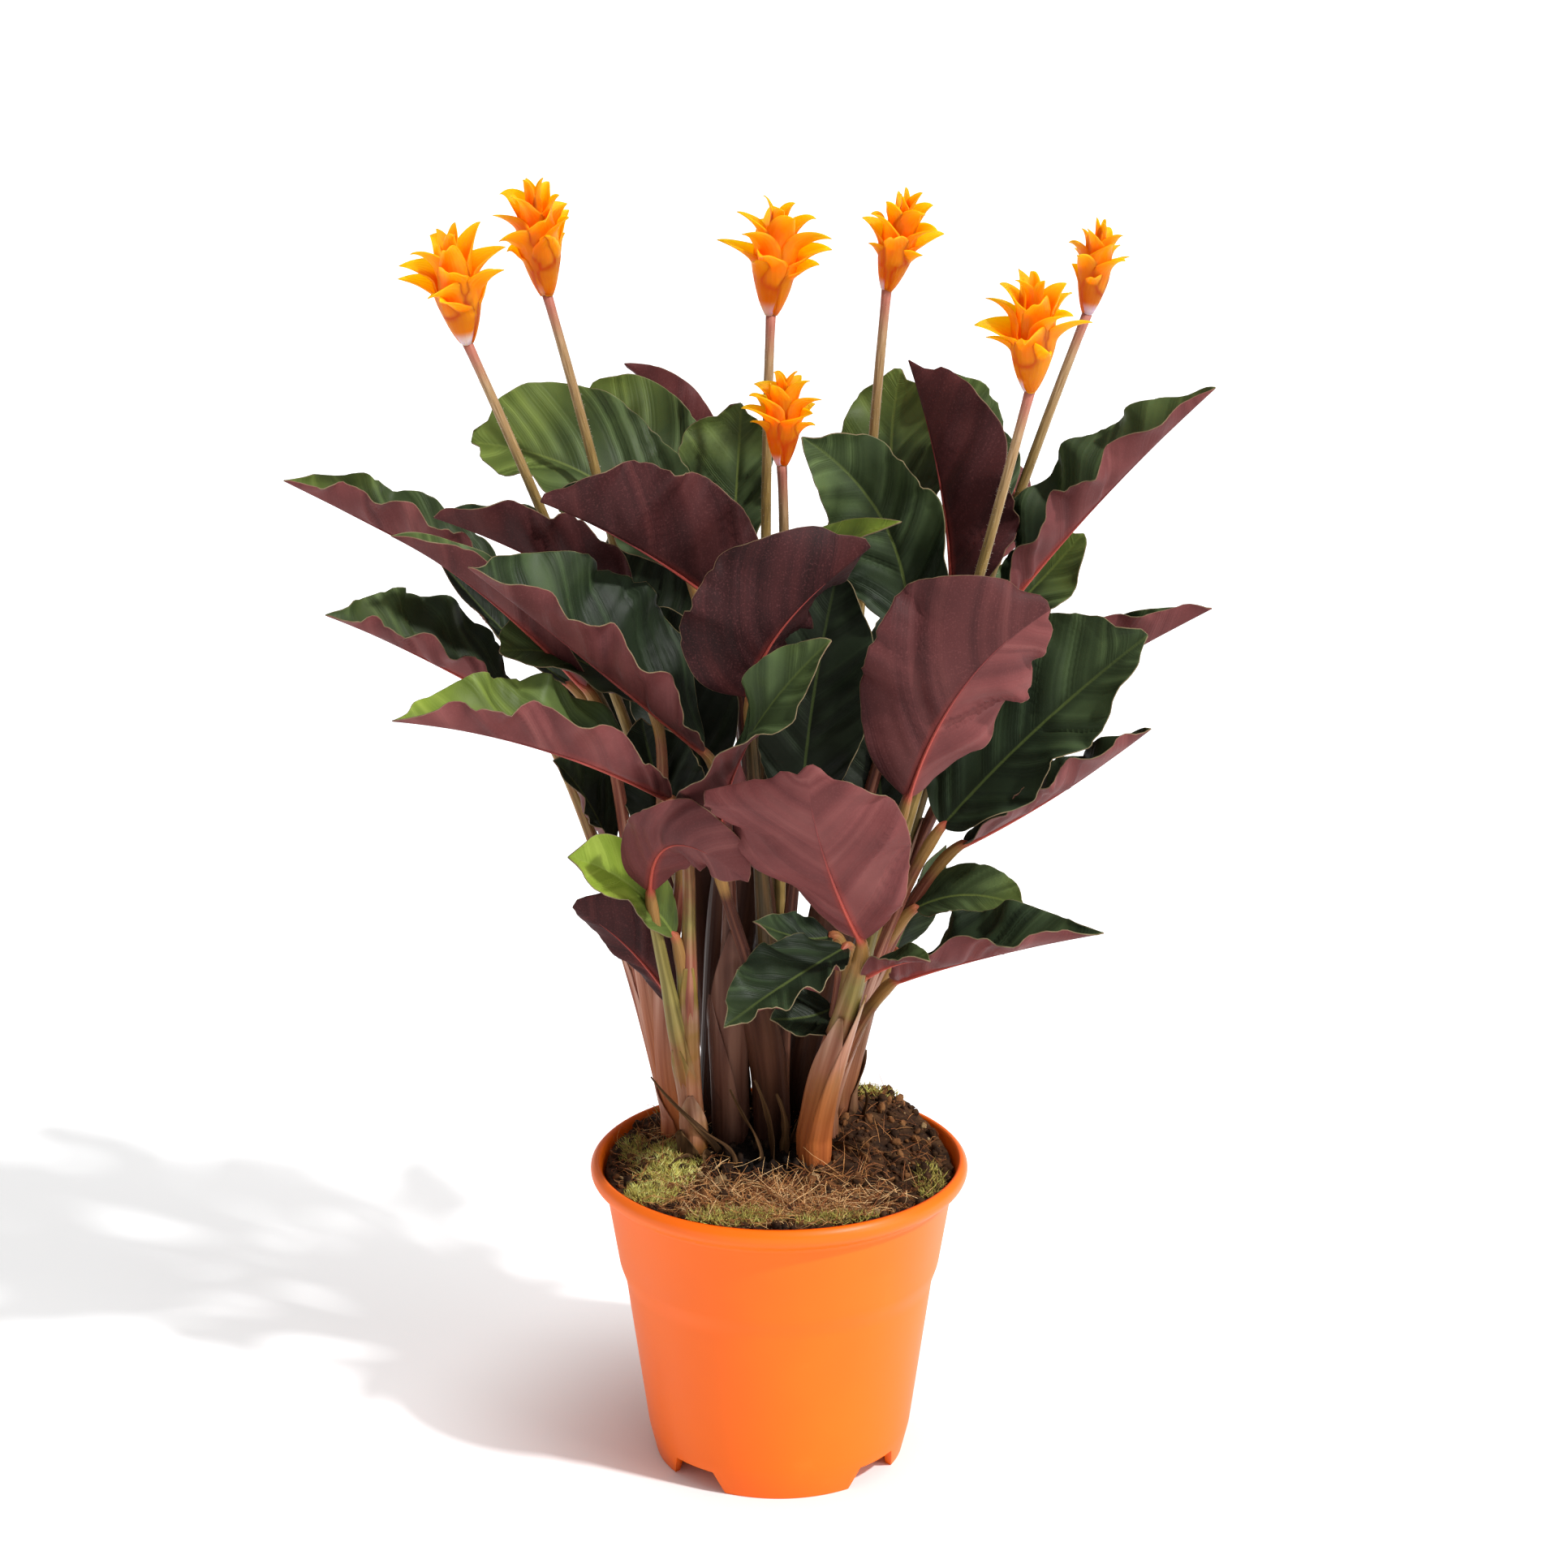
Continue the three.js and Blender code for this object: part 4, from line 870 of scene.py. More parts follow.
def strand(name, *tints):
    """Moss, straw and hairs, with their tone from the map of each strand."""
    n = Nodes(name)
    up, tone = n.map("strand")
    cloud = n.noise(n.place(), 400, 2)
    stops = [(k / (len(tints) - 1), tint) for k, tint in enumerate(tints)]
    body = n.ramp(tone + (cloud - 0.5) * 0.3, *stops)
    body = n.mix(n.fade(up, 0.0, 0.5, 0.4, 0.0), body, "2a2412")
    return n.finish(body, 0.75, 0.3, Normal=n.bump(cloud, 0.0002, 0.4))


def floor_paper():
    """White studio paper that glows faintly, except close round the pot."""
    n = Nodes("floor_paper")
    x, y, _ = n.split(n.place())
    tooth = n.bump(n.noise(n.place(), 300, 2), 0.00005, 0.1)
    glow = n.fade(n.away(x, y), 40 * MM, 160 * MM, 0.0, FLOOR_GLOW)
    white = (0.93, 0.93, 0.93, 1)
    return n.finish(white, 0.9, 0.1, Normal=tooth, Emission_Color="ffffff", Emission_Strength=glow)


# ---------------------------------------------------------------- blades
def midrib(blade, s):
    base, mid, tip = (np.array(blade[k], float) for k in ("base", "mid", "tip"))
    pull = 2 * mid - base / 2 - tip / 2
    return bezier([base, pull, tip], s)


def blade_axes(blade, s):
    """Along the midrib, out of the upper side and to the right, at each share s."""
    step = 0.01
    ahead = unit(midrib(blade, s + step) - midrib(blade, s - step))
    face = np.array(blade["face"], float) * np.ones((len(s), 3))
    if "face_tip" in blade:
        face = lerp(face, np.array(blade["face_tip"], float), smooth(s)[:, None])
    normal = unit(face - ahead * (face * ahead).sum(1)[:, None])
    return ahead, normal, np.cross(ahead, normal)


def half_outline(s, half, blunt):
    """Share of its width that a half has along the midrib."""
    widest, shoulder, point = [*half[2:], *(BLADE_WIDEST, BLADE_SHOULDER, blunt)[len(half) - 2:]]
    near = (1 - np.clip(1 - s / widest, 0, 1) ** 2) ** shoulder
    far = 1 - np.clip((s - widest) / (1 - widest), 0, 1) ** point
    return np.where(s < widest, near, far)


def blade_length(blade):
    points = midrib(blade, np.linspace(0, 1, 30))
    return np.linalg.norm(np.diff(points, axis=0), axis=1).sum()


def margin_ripple(turns, seed):
    """Smaller, uneven waves on top of the large ones, for the outermost part of a blade."""
    strength = 0.6 + 0.4 * wave(0.45 * turns + seed)
    return strength * (0.75 * wave(2.3 * turns + 0.7 * seed) + 0.25 * wave(4.9 * turns + seed))


def pleats(vein, start, width, seed):
    """Soft folds along the lateral veins, of uneven strength, with broader ones among them."""
    strength = 0.6 + 0.25 * wave(1.6 * start + 1.3 * seed) + 0.25 * wave(0.23 * vein + 2 * seed)
    size = min(PLEAT_HEIGHT, 0.045 * width.max())
    return size * (strength * (wave(vein) + 0.25 * wave(2 * vein + 0.25)) + 0.65 * wave(0.41 * vein + seed))


def pleat_room(s, reach):
    """How far pleats come out: they start beside the midrib and soften toward margin and tip."""
    across = smooth(reach / 0.22) * (1 - 0.5 * smooth((reach - 0.8) / 0.2))
    return across, (1 - 0.7 * smooth((s - 0.5) / 0.4))[:, None]


def blade_sheet(blade, s, t, seed):
    """Middle surface of a blade and its maps, rows along s and columns along t."""
    length = blade_length(blade)
    spine = midrib(blade, s)
    ahead, normal, right = blade_axes(blade, s)
    reach = np.abs(t)[None, :]
    side = np.where(t < 0, -1.0, 1.0)[None, :]
    pick = (t >= 0).astype(int)

    # outline and fold
    halves = [blade["left"], blade["right"]]
    blunt = blade.get("blunt", BLADE_POINT)
    outlines = np.stack([np.maximum(half_outline(s, half, blunt), BLADE_LEAST) for half in halves], 1)
    half_width = np.array([half[0] for half in halves])[pick][None, :]
    width = outlines[:, pick] * half_width
    settle = lerp(FOLD_START, 1, smooth(s / FOLD_SETTLED))[:, None]
    fold = np.radians(np.array([half[1] for half in halves], float))[pick][None, :] * settle
    angle = fold + BLADE_CUP * (reach - 0.5)

    # waves and ripples of the margin, pleats along the veins, and the groove over the midrib
    height, count, phase = blade["wave"]
    taper = np.maximum(0, np.sin(math.pi * np.clip(s, 0, 1)))[:, None] ** 0.6
    turns = count * s[:, None] + phase + WAVE_OFFSET * pick[None, :]
    lift = height * taper * reach ** WAVE_OUTWARD * wave(turns)
    ripple = margin_ripple(turns, seed + 3.1 * pick[None, :])
    lift = lift + min(RIPPLE_HEIGHT, 0.5 * height) * ripple * taper * reach ** 3
    veins = max(4, round(length / PLEAT_SPACING))
    start = s[:, None] - PLEAT_SWEEP * half_width / length * (width * reach / half_width) ** 1.15
    vein = veins * start + 0.3 * wave(2.3 * start + seed) + 0.16 * wave(5.1 * start + 2 * seed + 0.3 * side)
    across, along = pleat_room(s, reach)
    lift = lift + pleats(vein, start, width, seed) * (across * taper * along)
    lift = lift - GROOVE_DEEP * (1 - smooth(s / RIB_END))[:, None] * np.exp(-(width * reach / 1.1) ** 2)

    out_width = width * reach * (1 - NICK_DEEP * np.abs(ripple) ** 1.5 * reach ** 2)
    out = side * (out_width * np.cos(angle) - lift * np.sin(angle))
    rise = out_width * np.sin(angle) + lift * np.cos(angle)
    sheet = spine[:, None, :] + right[:, None, :] * out[..., None] + normal[:, None, :] * rise[..., None]
    scallop = 0.5 + 0.5 * wave(side * width * reach / TIP_NICK_SPACING + seed)
    back = TIP_NICK * min(1, width.max() / 24) * smooth((s[:, None] - 0.82) / 0.18) * scallop
    sheet = sheet - ahead[:, None, :] * back[..., None]
    # deep is painted shade: how far the underside of each half is dimmed
    deep = np.broadcast_to(blade.get("deep", 0.3), 2)[pick]
    return sheet, dict(
        blade=pair(s[:, None], deep, width),
        vein=pair(vein + 0.5 * seed, width * reach / LATERAL_SCALE, width),
        kind=pair(width * (1 - reach) / LATERAL_SCALE, blade["tone"], width),
    )


def add_blade(skin, blade, seed):
    rows = max(26, round(blade_length(blade) / BLADE_ROW_LENGTH))
    x = np.linspace(0, 1, rows)
    s = 0.35 * x * x + 0.65 * x
    right = np.array(BLADE_COLUMNS)
    t = np.concatenate([-right[:0:-1], right])
    sheet, maps = blade_sheet(blade, s, t, seed)
    thick = BLADE_HALF_THICK * (1 - 0.35 * smooth((np.abs(t) - 0.9) / 0.1))[None, :]
    shell(skin, sheet, thick, maps)


# ---------------------------------------------------------------- stems
def stem_start(shoot, target):
    """Where a stem leaves the soil on its way to the target, and where its free bend starts."""
    x, y = shoot["foot"]
    turn = math.atan2(target[1] - y, target[0] - x)
    ground = soil_level(x, y)
    foot = np.array([x + FOOT_SPREAD * math.cos(turn), y + FOOT_SPREAD * math.sin(turn), ground])
    return foot, foot + [0, 0, FOOT_STRAIGHT]


def stem_path(shoot, target, meet, rise_share, steps):
    """From under the soil, straight out of it, then in one bend to the target."""
    foot, start = stem_start(shoot, target)
    leaning = unit(np.array([*shoot["lean"], LEAN_HEIGHT], float))
    rise = start + leaning * rise_share * np.linalg.norm(np.array(target, float) - start)
    bend = bezier([start, rise, meet, target], np.linspace(0, 1, steps))
    below = np.linspace(foot - [0, 0, HOLE_DEPTH - CLEARANCE], start, 5)[:-1]
    return np.concatenate([below, bend]), len(below)


def add_petiole(skin, shoot, blade, seed):
    """Sheathed foot, thinner stem, swollen joint, and the rib that runs on under the blade."""
    base = np.array(blade["base"], float)
    reach = np.linalg.norm(base - stem_start(shoot, base)[1])
    ahead = blade_axes(blade, np.array([0.02]))[0][0]
    path, below = stem_path(shoot, base, base - ahead * PETIOLE_MEET * reach, PETIOLE_RISE, PETIOLE_STEPS)
    done = along_path(path)
    k = np.clip((np.arange(len(path)) - below) / (PETIOLE_STEPS - 1), 0, 1)
    sheath = blade.get("sheath", SHEATH_RADIUS)
    stem = lerp(blade.get("stem", PETIOLE_RADIUS), NECK_RADIUS, smooth(2 * k - 1))
    radii = lerp(sheath, stem, smooth((k - SHEATH_SHARE + 0.12) / 0.24))
    left = done[-1] - done
    swell = np.exp(-((left - 0.5 * PULVINUS_LENGTH) / (0.42 * PULVINUS_LENGTH)) ** 2)
    radii = radii * (1 + (PULVINUS_SWELL - 1) * swell)

    s = np.linspace(0.03, RIB_END, RIB_STEPS)
    rib = lerp(RIB_START_RADIUS, RIB_END_RADIUS, (s / RIB_END) ** 0.8)
    _, normal, _ = blade_axes(blade, s)
    run = midrib(blade, s) - normal * (GROOVE_DEEP * (1 - smooth(s / RIB_END)) + 0.8 * rib)[:, None]
    whole = np.concatenate([path, run])
    distance = (along_path(whole) - done[-1]) / STEM_SCALE
    height = np.concatenate([done, np.full(len(s), done[-1])]) / STEM_SCALE
    tone = 0.5 + 0.5 * math.sin(12.9 * seed)
    maps = dict(stem=pair(distance, distance, distance), stem_kind=pair(height, tone, height))
    tube(skin, whole, np.concatenate([radii, rib]), STEM_SIDES, maps)
    return path


def add_stalk(skin, hairs, shoot, flower, chance):
    path, _ = stem_path(shoot, flower["base"], flower["meet"], STALK_RISE, STALK_STEPS)
    radii = np.linspace(STALK_FOOT_RADIUS, STALK_RADIUS, len(path))
    done = along_path(path)
    radii = radii * (1 + 0.12 * smooth((done - done[-1] + 9) / 9))
    distance = (done - done[-1]) / STEM_SCALE
    maps = dict(stem=pair(distance, distance, distance), stem_kind=pair(done / STEM_SCALE, 0, done))
    tube(skin, path, radii, STEM_SIDES, maps, kind=1)
    add_stalk_hairs(hairs, path, radii, done, chance)


def add_stalk_hairs(hairs, path, radii, done, chance):
    """Fine short hairs over the part of a stalk that stands above the leaves."""
    ahead, side, other = path_frames(path)
    for _ in range(HAIRS):
        at = chance.uniform(max(0, done[-1] - HAIRY_LENGTH), done[-1] - 1)
        i = int(np.searchsorted(done, at)) - 1
        share = (at - done[i]) / (done[i + 1] - done[i])
        turn = chance.uniform(0, 2 * math.pi)
        out = math.cos(turn) * side[i] + math.sin(turn) * other[i]
        root = lerp(path[i], path[i + 1], share) + out * (radii[i] - 0.05)
        tip = root + (out + 0.25 * ahead[i]) * HAIR_LENGTH * chance.uniform(0.5, 1)
        add_spike(hairs, root, tip, HAIR_RADIUS, 0.5)


def add_sheath(skin, path, kind, seed, rows=34, columns=25):
    """A sheath that clasps the path of a stem and runs out in a slanting point."""
    height, low, high, wrap, back, dry, warm, top = kind
    done = along_path(path)
    up = np.linspace(0, 1, rows)
    spine = np.stack([np.interp(SHEATH_LOW + up * height, done, path[:, k]) for k in range(3)], -1)
    _, side, other = path_frames(spine)
    wrap_here = math.radians(wrap) * lerp(1, top, up ** 1.8)
    across = np.linspace(-0.5, 0.5, columns)
    wobble = 0.2 * np.sin(5 * across + seed)[None, :] * np.sin(6 * up + 2 * seed)[:, None]
    turn = math.radians(back) + wrap_here[:, None] * across[None, :]
    wing = np.abs(2 * across)[None, :] ** 3 * (up * (1.25 - up))[:, None]
    radius = lerp(low, high, up)[:, None] + SHEATH_WINGS * wing + wobble
    radius = radius * (1 + 0.08 * np.exp(-((up - 0.16) / 0.12) ** 2)[:, None])
    sheet = spine[:, None, :] + radius[..., None] * outward(side, other, turn)
    maps = dict(stem=pair(up[:, None], turn / (2 * math.pi), radius), stem_kind=pair(dry, warm, radius))
    thick = SHEATH_HALF_THICK * (1 - 0.6 * smooth((np.abs(2 * across) - 0.75) / 0.25))[None, :]
    shell(skin, sheet[:, ::-1], thick, {k: v[:, ::-1] for k, v in maps.items()}, kinds=(2, 2, 2))


def add_leaf_sheath(skin, shoot, blade, path, seed, warm):
    """The thin winged sheath along the lower part of a petiole, open toward its shoot."""
    x, y = shoot["foot"]
    outward_turn = math.degrees(math.atan2(blade["base"][1] - y, blade["base"][0] - x))
    height = (along_path(path)[-1] - SHEATH_LOW) * (0.5 + 0.12 * math.sin(7 * seed))
    low = blade.get("sheath", SHEATH_RADIUS) + 0.45
    high = blade.get("stem", PETIOLE_RADIUS) + 0.5
    kind = (height, low, high, 290, outward_turn + 25 * math.sin(5 * seed), 0.1, warm, 0.2)
    add_sheath(skin, path, kind, seed, rows=26, columns=15)


def build_shoot(name, shoot, number, looks):
    chance = np.random.default_rng(100 + number)
    blades = Skin()
    stems = Skin()
    hairs = Skin()
    *_, warm, _ = shoot["sheaths"][0]
    paths = []
    for k, blade in enumerate(shoot["leaves"].values()):
        seed = number + 0.37 * k
        add_blade(blades, blade, seed)
        paths.append(add_petiole(stems, shoot, blade, seed))
        add_leaf_sheath(stems, shoot, blade, paths[-1], seed, warm)
    for k, kind in enumerate(shoot["sheaths"]):
        add_sheath(stems, paths[0], kind, number + 0.41 * k)
    for flower in shoot.get("flowers", {}).values():
        add_stalk(stems, hairs, shoot, flower, chance)
    # the shoot map carries dark, the painted shade of the inner shoots' stems, and their green
    stems.maps["shoot"] = [np.broadcast_to((shoot["dark"], shoot["green"]), (stems.count, 2))]
    blades.make(f"blades_{name}", looks["leaf"], [name])
    stems.make(f"stems_{name}", looks["stem"], [name])
    if hairs.count:
        hairs.make(f"hairs_{name}", looks["hair"])


# ---------------------------------------------------------------- blooms
# whorls of bracts: how many, and in shares of the head's height where they start, the lip where
# they bend out of the cup and their tips (out and up) and how wide a half is; then their turn
WHORLS = [
    dict(count=3, root=-0.012, lip=(0.165, 0.31), tip=(0.37, 0.45), half=0.17, turn=0.0),
    dict(count=4, root=0.0, lip=(0.19, 0.43), tip=(0.52, 0.6), half=0.18, turn=0.6),
    dict(count=3, root=0.04, lip=(0.185, 0.56), tip=(0.45, 0.73), half=0.18, turn=0.1),
    dict(count=4, root=0.1, lip=(0.15, 0.68), tip=(0.33, 0.88), half=0.15, turn=1.0),
    dict(count=3, root=0.26, lip=(0.06, 0.8), tip=(0.15, 0.98), half=0.09, turn=0.5),
]
CUP_START = 0.05               # how far from the axis a bract starts, as a share of the head's height
CUP_ROWS = 8
FLARE_ROWS = 12
BRACT_COLUMNS = 13
BRACT_HALF_THICK = 0.3


def add_bract(skin, size, spread, whorl, turn, origin, axes, chance):
    """A bract that hugs the head up to its lip and then bends outward to a point."""
    out_tip, up_tip = whorl["tip"]
    out_tip = out_tip * spread * chance.uniform(0.85, 1.04)
    up_tip = min(0.99, up_tip + chance.uniform(-0.04, 0.04))
    lip_out, lip_up = whorl["lip"]
    lip_out = lip_out * lerp(1, spread, 0.5)
    root = whorl["root"]
    rise = chance.uniform(-0.02, 0.03)
    cup_line = bezier([
        (CUP_START, root), (lerp(CUP_START, lip_out, 0.4), lerp(root, lip_up, 0.22)),
        (lerp(CUP_START, lip_out, 0.85), lerp(root, lip_up, 0.65)), (lip_out, lip_up),
    ], np.linspace(0, 1, CUP_ROWS))
    x = np.linspace(0, 1, FLARE_ROWS)
    flare_line = bezier([
        (lip_out, lip_up), (1.1 * lip_out, lerp(lip_up, up_tip, 0.45)),
        (lerp(lip_out, out_tip, 0.55), lerp(lip_up, up_tip, 0.9) + rise), (out_tip, up_tip),
    ], x)
    line = np.concatenate([cup_line[:-1], flare_line]) * size
    along = unit(np.gradient(line, axis=0))
    inward = np.stack([-along[:, 1], along[:, 0]], -1)
    half = whorl["half"] * size * chance.uniform(0.9, 1.1)
    swell = lerp(0.3, 1, smooth(np.linspace(0, 1, CUP_ROWS)[:-1] / 0.8))
    width = half * np.concatenate([swell, np.maximum((1 - x) ** 0.8, 0.02)])
    hug = np.minimum(width[:CUP_ROWS - 1] / line[:CUP_ROWS - 1, 0], math.radians(80))
    bend = np.concatenate([hug, lerp(max(hug[-1], math.radians(66)), math.radians(55), x)])
    k = np.linspace(0, 1, len(line))
    u = np.linspace(-1, 1, BRACT_COLUMNS)
    curve = width / bend
    sway = chance.uniform(-0.1, 0.1) * size * k ** 3
    tangent = curve[:, None] * np.sin(u[None, :] * bend[:, None]) + sway[:, None]
    cup = curve[:, None] * (1 - np.cos(u[None, :] * bend[:, None]))
    crimp = 0.035 * size * (k * (1 - k) * np.sin(8 * k + 6 * chance.uniform()))[:, None] * u[None, :] ** 2
    twist = chance.choice([-1, 1]) * chance.uniform(0.15, 0.6) * smooth((k[:, None] - 0.25) / 0.4) * tangent
    radial = line[:, None, 0] + inward[:, None, 0] * (cup + crimp + twist)
    rise = line[:, None, 1] + inward[:, None, 1] * (cup + crimp + twist)
    spin_x = math.cos(turn) * radial - math.sin(turn) * tangent
    spin_y = math.sin(turn) * radial + math.cos(turn) * tangent
    sheet = origin + np.stack([spin_x, spin_y, rise], -1) @ axes.T
    maps = dict(
        bract=pair(k[:, None], 0.5 + 0.5 * u[None, :], radial),
        bract_kind=pair(rise / size, chance.uniform(), radial),
    )
    thick = BRACT_HALF_THICK * (1 - 0.45 * np.abs(u) ** 3)[None, :] * lerp(1, 0.6, k)[:, None]
    shell(skin, sheet, thick, maps, kinds=(0, 0, 0))


def bloom(name, flower, number, skins):
    chance = np.random.default_rng(40 + number)
    base = Vector(flower["base"])
    axis = Vector(flower["top"]) - base
    axes = np.array(Vector((0, 0, 1)).rotation_difference(axis.normalized()).to_matrix())
    origin = np.array(base) + np.array(axis.normalized()) * CLEARANCE
    skin = Skin()
    for whorl in WHORLS:
        for k in range(whorl["count"]):
            turn = 2 * math.pi * k / whorl["count"] + whorl["turn"] + 0.8 * number
            turn += chance.uniform(-0.2, 0.2)
            add_bract(skin, axis.length, flower["spread"], whorl, turn, origin, axes, chance)
    skin.make(f"bracts_{name}", skins, [name])


# ---------------------------------------------------------------- pot
def rounded(profile, corners, steps=5):
    """The profile with the corners of those numbers cut to arcs of the given sizes."""
    out = []
    for i, point in enumerate(profile):
        p = np.array(point, float)
        if i not in corners:
            out.append(p)
            continue
        before = np.array(profile[i - 1], float)
        after = np.array(profile[i + 1], float)
        a = p + unit(before - p) * corners[i]
        b = p + unit(after - p) * corners[i]
        out.extend(bezier([a, p, b], np.linspace(0, 1, steps)))
    return np.array(out)


def soft_step():
    """The wall's outer line where it widens at the band, without a hard edge."""
    z = np.linspace(WAIST[1] - STEP_SOFT, BAND[1] + STEP_SOFT, STEP_ROWS)
    below = WAIST[0] + (z - WAIST[1]) * (WAIST[0] - HEEL[0]) / (WAIST[1] - HEEL[1])
    above = BAND[0] + (z - BAND[1]) * (NECK[0] - BAND[0]) / (NECK[1] - BAND[1])
    return list(zip(lerp(below, above, smooth((z - z[0]) / (z[-1] - z[0]))), z))


def pot_profile():
    """Radii and heights from the middle of the underside, up the outside and down the inside."""
    floor_top = FOOT_HEIGHT + FLOOR_THICK
    profile = [
        (0, 0), (PAD_RADIUS, 0), (PAD_RADIUS + 2, FOOT_HEIGHT),
        (FOOT_RADIUS - FOOT_THICK + 0.6, FOOT_HEIGHT), (FOOT_RADIUS - FOOT_THICK, 0), (FOOT_RADIUS, 0),
        (HEEL[0] - 0.8, FOOT_HEIGHT), HEEL, *soft_step(), NECK,
        (RIM_RADIUS - 1, RIM_TOP - RIM_ROLL), (RIM_RADIUS, RIM_TOP - RIM_ROLL + 2),
        (RIM_RADIUS, RIM_TOP - 2.5), (RIM_RADIUS - 2.4, RIM_TOP), (RIM_INSIDE + 0.3, RIM_TOP - 1.6),
        (NECK[0] + 0.1, NECK[1]), (BAND[0] - WALL, BAND[1]), (WAIST[0] - WALL, WAIST[1]),
        (HEEL[0] - WALL, HEEL[1] + 0.5), (FLOOR_RADIUS, floor_top), (0, floor_top),
    ]
    low = {1: 0.5, 2: 1.2, 4: 0.4, 5: 0.5, 6: 0.8, 7: 1.2}
    high = {10: 1.6, 11: 0.9, 12: 0.9, 13: 1.2, 14: 1.6, 15: 1.2, 16: 1.5, 19: 1.2, 20: 1.2}
    return rounded(profile, low | {k + STEP_ROWS - 2: size for k, size in high.items()})


def lathe(skin, profile, segments):
    """Turns a profile that starts and ends on the axis, outside first, round Z."""
    turn = circle(segments)
    radius = profile[1:-1, :1]
    height = np.repeat(profile[1:-1, 1:], segments, 1)
    rings = np.stack([radius * np.cos(turn), radius * np.sin(turn), height], -1)
    closed_rings(skin, rings, (0, 0, profile[0][1]), (0, 0, profile[-1][1]))


def notch_cutters():
    """Slanted blocks that cut the drain notches out of the foot ring, as one helper object."""
    skin = Skin()
    low, high = NOTCH_LOW / 2, NOTCH_HIGH / 2
    outline = [(-low, -1), (low, -1), (high, FOOT_HEIGHT), (-high, FOOT_HEIGHT)]
    for k in range(NOTCHES):
        turn = NOTCH_START + k * math.pi / 2
        corners = []
        for out in (FOOT_RADIUS - NOTCH_DEEP / 2, FOOT_RADIUS + NOTCH_DEEP / 2):
            for x, up in outline:
                spin_x = x * math.cos(turn) + out * math.sin(turn)
                spin_y = x * math.sin(turn) - out * math.cos(turn)
                corners.append((spin_x, spin_y, up))
        faces = [(3, 2, 1, 0), (4, 5, 6, 7), (0, 1, 5, 4), (1, 2, 6, 5), (2, 3, 7, 6), (3, 0, 4, 7)]
        skin.add(corners, [(faces, 0)])
    return placed("notch_cutters", skin.mesh("notch_cutters"))


def build_pot(plastic):
    skin = Skin()
    lathe(skin, pot_profile(), POT_SEGMENTS)
    pot = skin.make("pot_moulding", [plastic], ["pot"])
    cutter = notch_cutters()
    cut = pot.modifiers.new("notches", "BOOLEAN")
    cut.operation = "DIFFERENCE"
    cut.solver = "EXACT"
    cut.object = cutter
    bpy.context.view_layer.update()
    done = bpy.data.meshes.new_from_object(pot.evaluated_get(bpy.context.evaluated_depsgraph_get()))
    pot.modifiers.clear()
    pot.data = done
    bpy.data.objects.remove(cutter)
    soft = pot.modifiers.new("soft_edges", "BEVEL")
    soft.width = EDGE_ROUND * MM
    soft.segments = 2
    soft.limit_method = "ANGLE"
    soft.angle_limit = math.radians(50)
    for face in pot.data.polygons:
        face.use_smooth = True


# ---------------------------------------------------------------- soil, moss and straw
def ground_at(x, y):
    """Height of the rough soil surface."""
    hollow_x, hollow_y, hollow_spread, hollow_deep = HOLLOW
    hollow = hollow_deep * math.exp(-((x - hollow_x) ** 2 + (y - hollow_y) ** 2) / hollow_spread)
    ridge_y, ridge_spread, ridge_rise = FRONT_RIDGE
    ridge = ridge_rise * math.exp(-((y - ridge_y) / ridge_spread) ** 2)
    level = soil_level(x, y) + ridge - hollow
    (coarse, high), (fine, low) = COARSE_SOIL, FINE_SOIL
    return level + high * roughness_at(x, y, coarse) + low * roughness_at(x, y, fine, 9)


def build_soil(looks):
    """The soil body in the pot, with a rough top."""
    c = CLEARANCE
    wall = [
        (FLOOR_RADIUS - c, FOOT_HEIGHT + FLOOR_THICK + c), (HEEL[0] - WALL - c, HEEL[1] + 0.5 + c),
        (WAIST[0] - WALL - c, WAIST[1] + c), (BAND[0] - WALL - c, BAND[1] + c),
        (NECK[0] + 0.1 - c, NECK[1] + c), (SOIL_RADIUS, SOIL_EDGE - 1.5),
    ]
    turn = circle(SOIL_SEGMENTS)
    rings = [[(r * math.cos(a), r * math.sin(a), z) for a in turn] for r, z in wall]
    for r in np.linspace(SOIL_RADIUS - 0.4, 0.8, SOIL_RINGS):
        ring = [(r * math.cos(a), r * math.sin(a)) for a in turn]
        rings.append([(x, y, ground_at(x, y)) for x, y in ring])
    skin = Skin()
    closed_rings(skin, np.array(rings), (0, 0, wall[0][1]), (0, 0, ground_at(0, 0)))
    skin.make("soil_body", [looks["peat"][0]], ["soil"])


def spot_on_soil(chance, inside=PLANTED_RADIUS):
    """A random place on the soil, clear of the rim."""
    r = inside * math.sqrt(chance.uniform())
    a = chance.uniform(0, 2 * math.pi)
    return r * math.cos(a), r * math.sin(a)


def add_lump(skin, place, size, kind, chance):
    """An angular crumb of peat or bark, of fewer faces when it is small."""
    bands, sides = (5, 7) if size > 1.5 else (4, 5)
    axes = np.array(Euler(chance.uniform(0, 2 * math.pi, 3)).to_matrix())
    stretch = np.array([1.0, chance.uniform(0.55, 0.9), chance.uniform(0.4, 0.75)]) * size
    points = []
    for i in range(1, bands):
        lat = math.pi * i / bands
        for j in range(sides):
            lon = 2 * math.pi * (j + 0.5 * (i % 2)) / sides
            out = np.array([math.sin(lat) * math.cos(lon), math.sin(lat) * math.sin(lon), -math.cos(lat)])
            points.append(chance.uniform(0.72, 1.18) * out)
    points += [np.array([0, 0, -0.9]), np.array([0, 0, 0.9])]
    points = np.array(points) * stretch @ axes.T + place
    closed_rings(skin, points[:-2].reshape(bands - 1, sides, 3), points[-2], points[-1], kind)


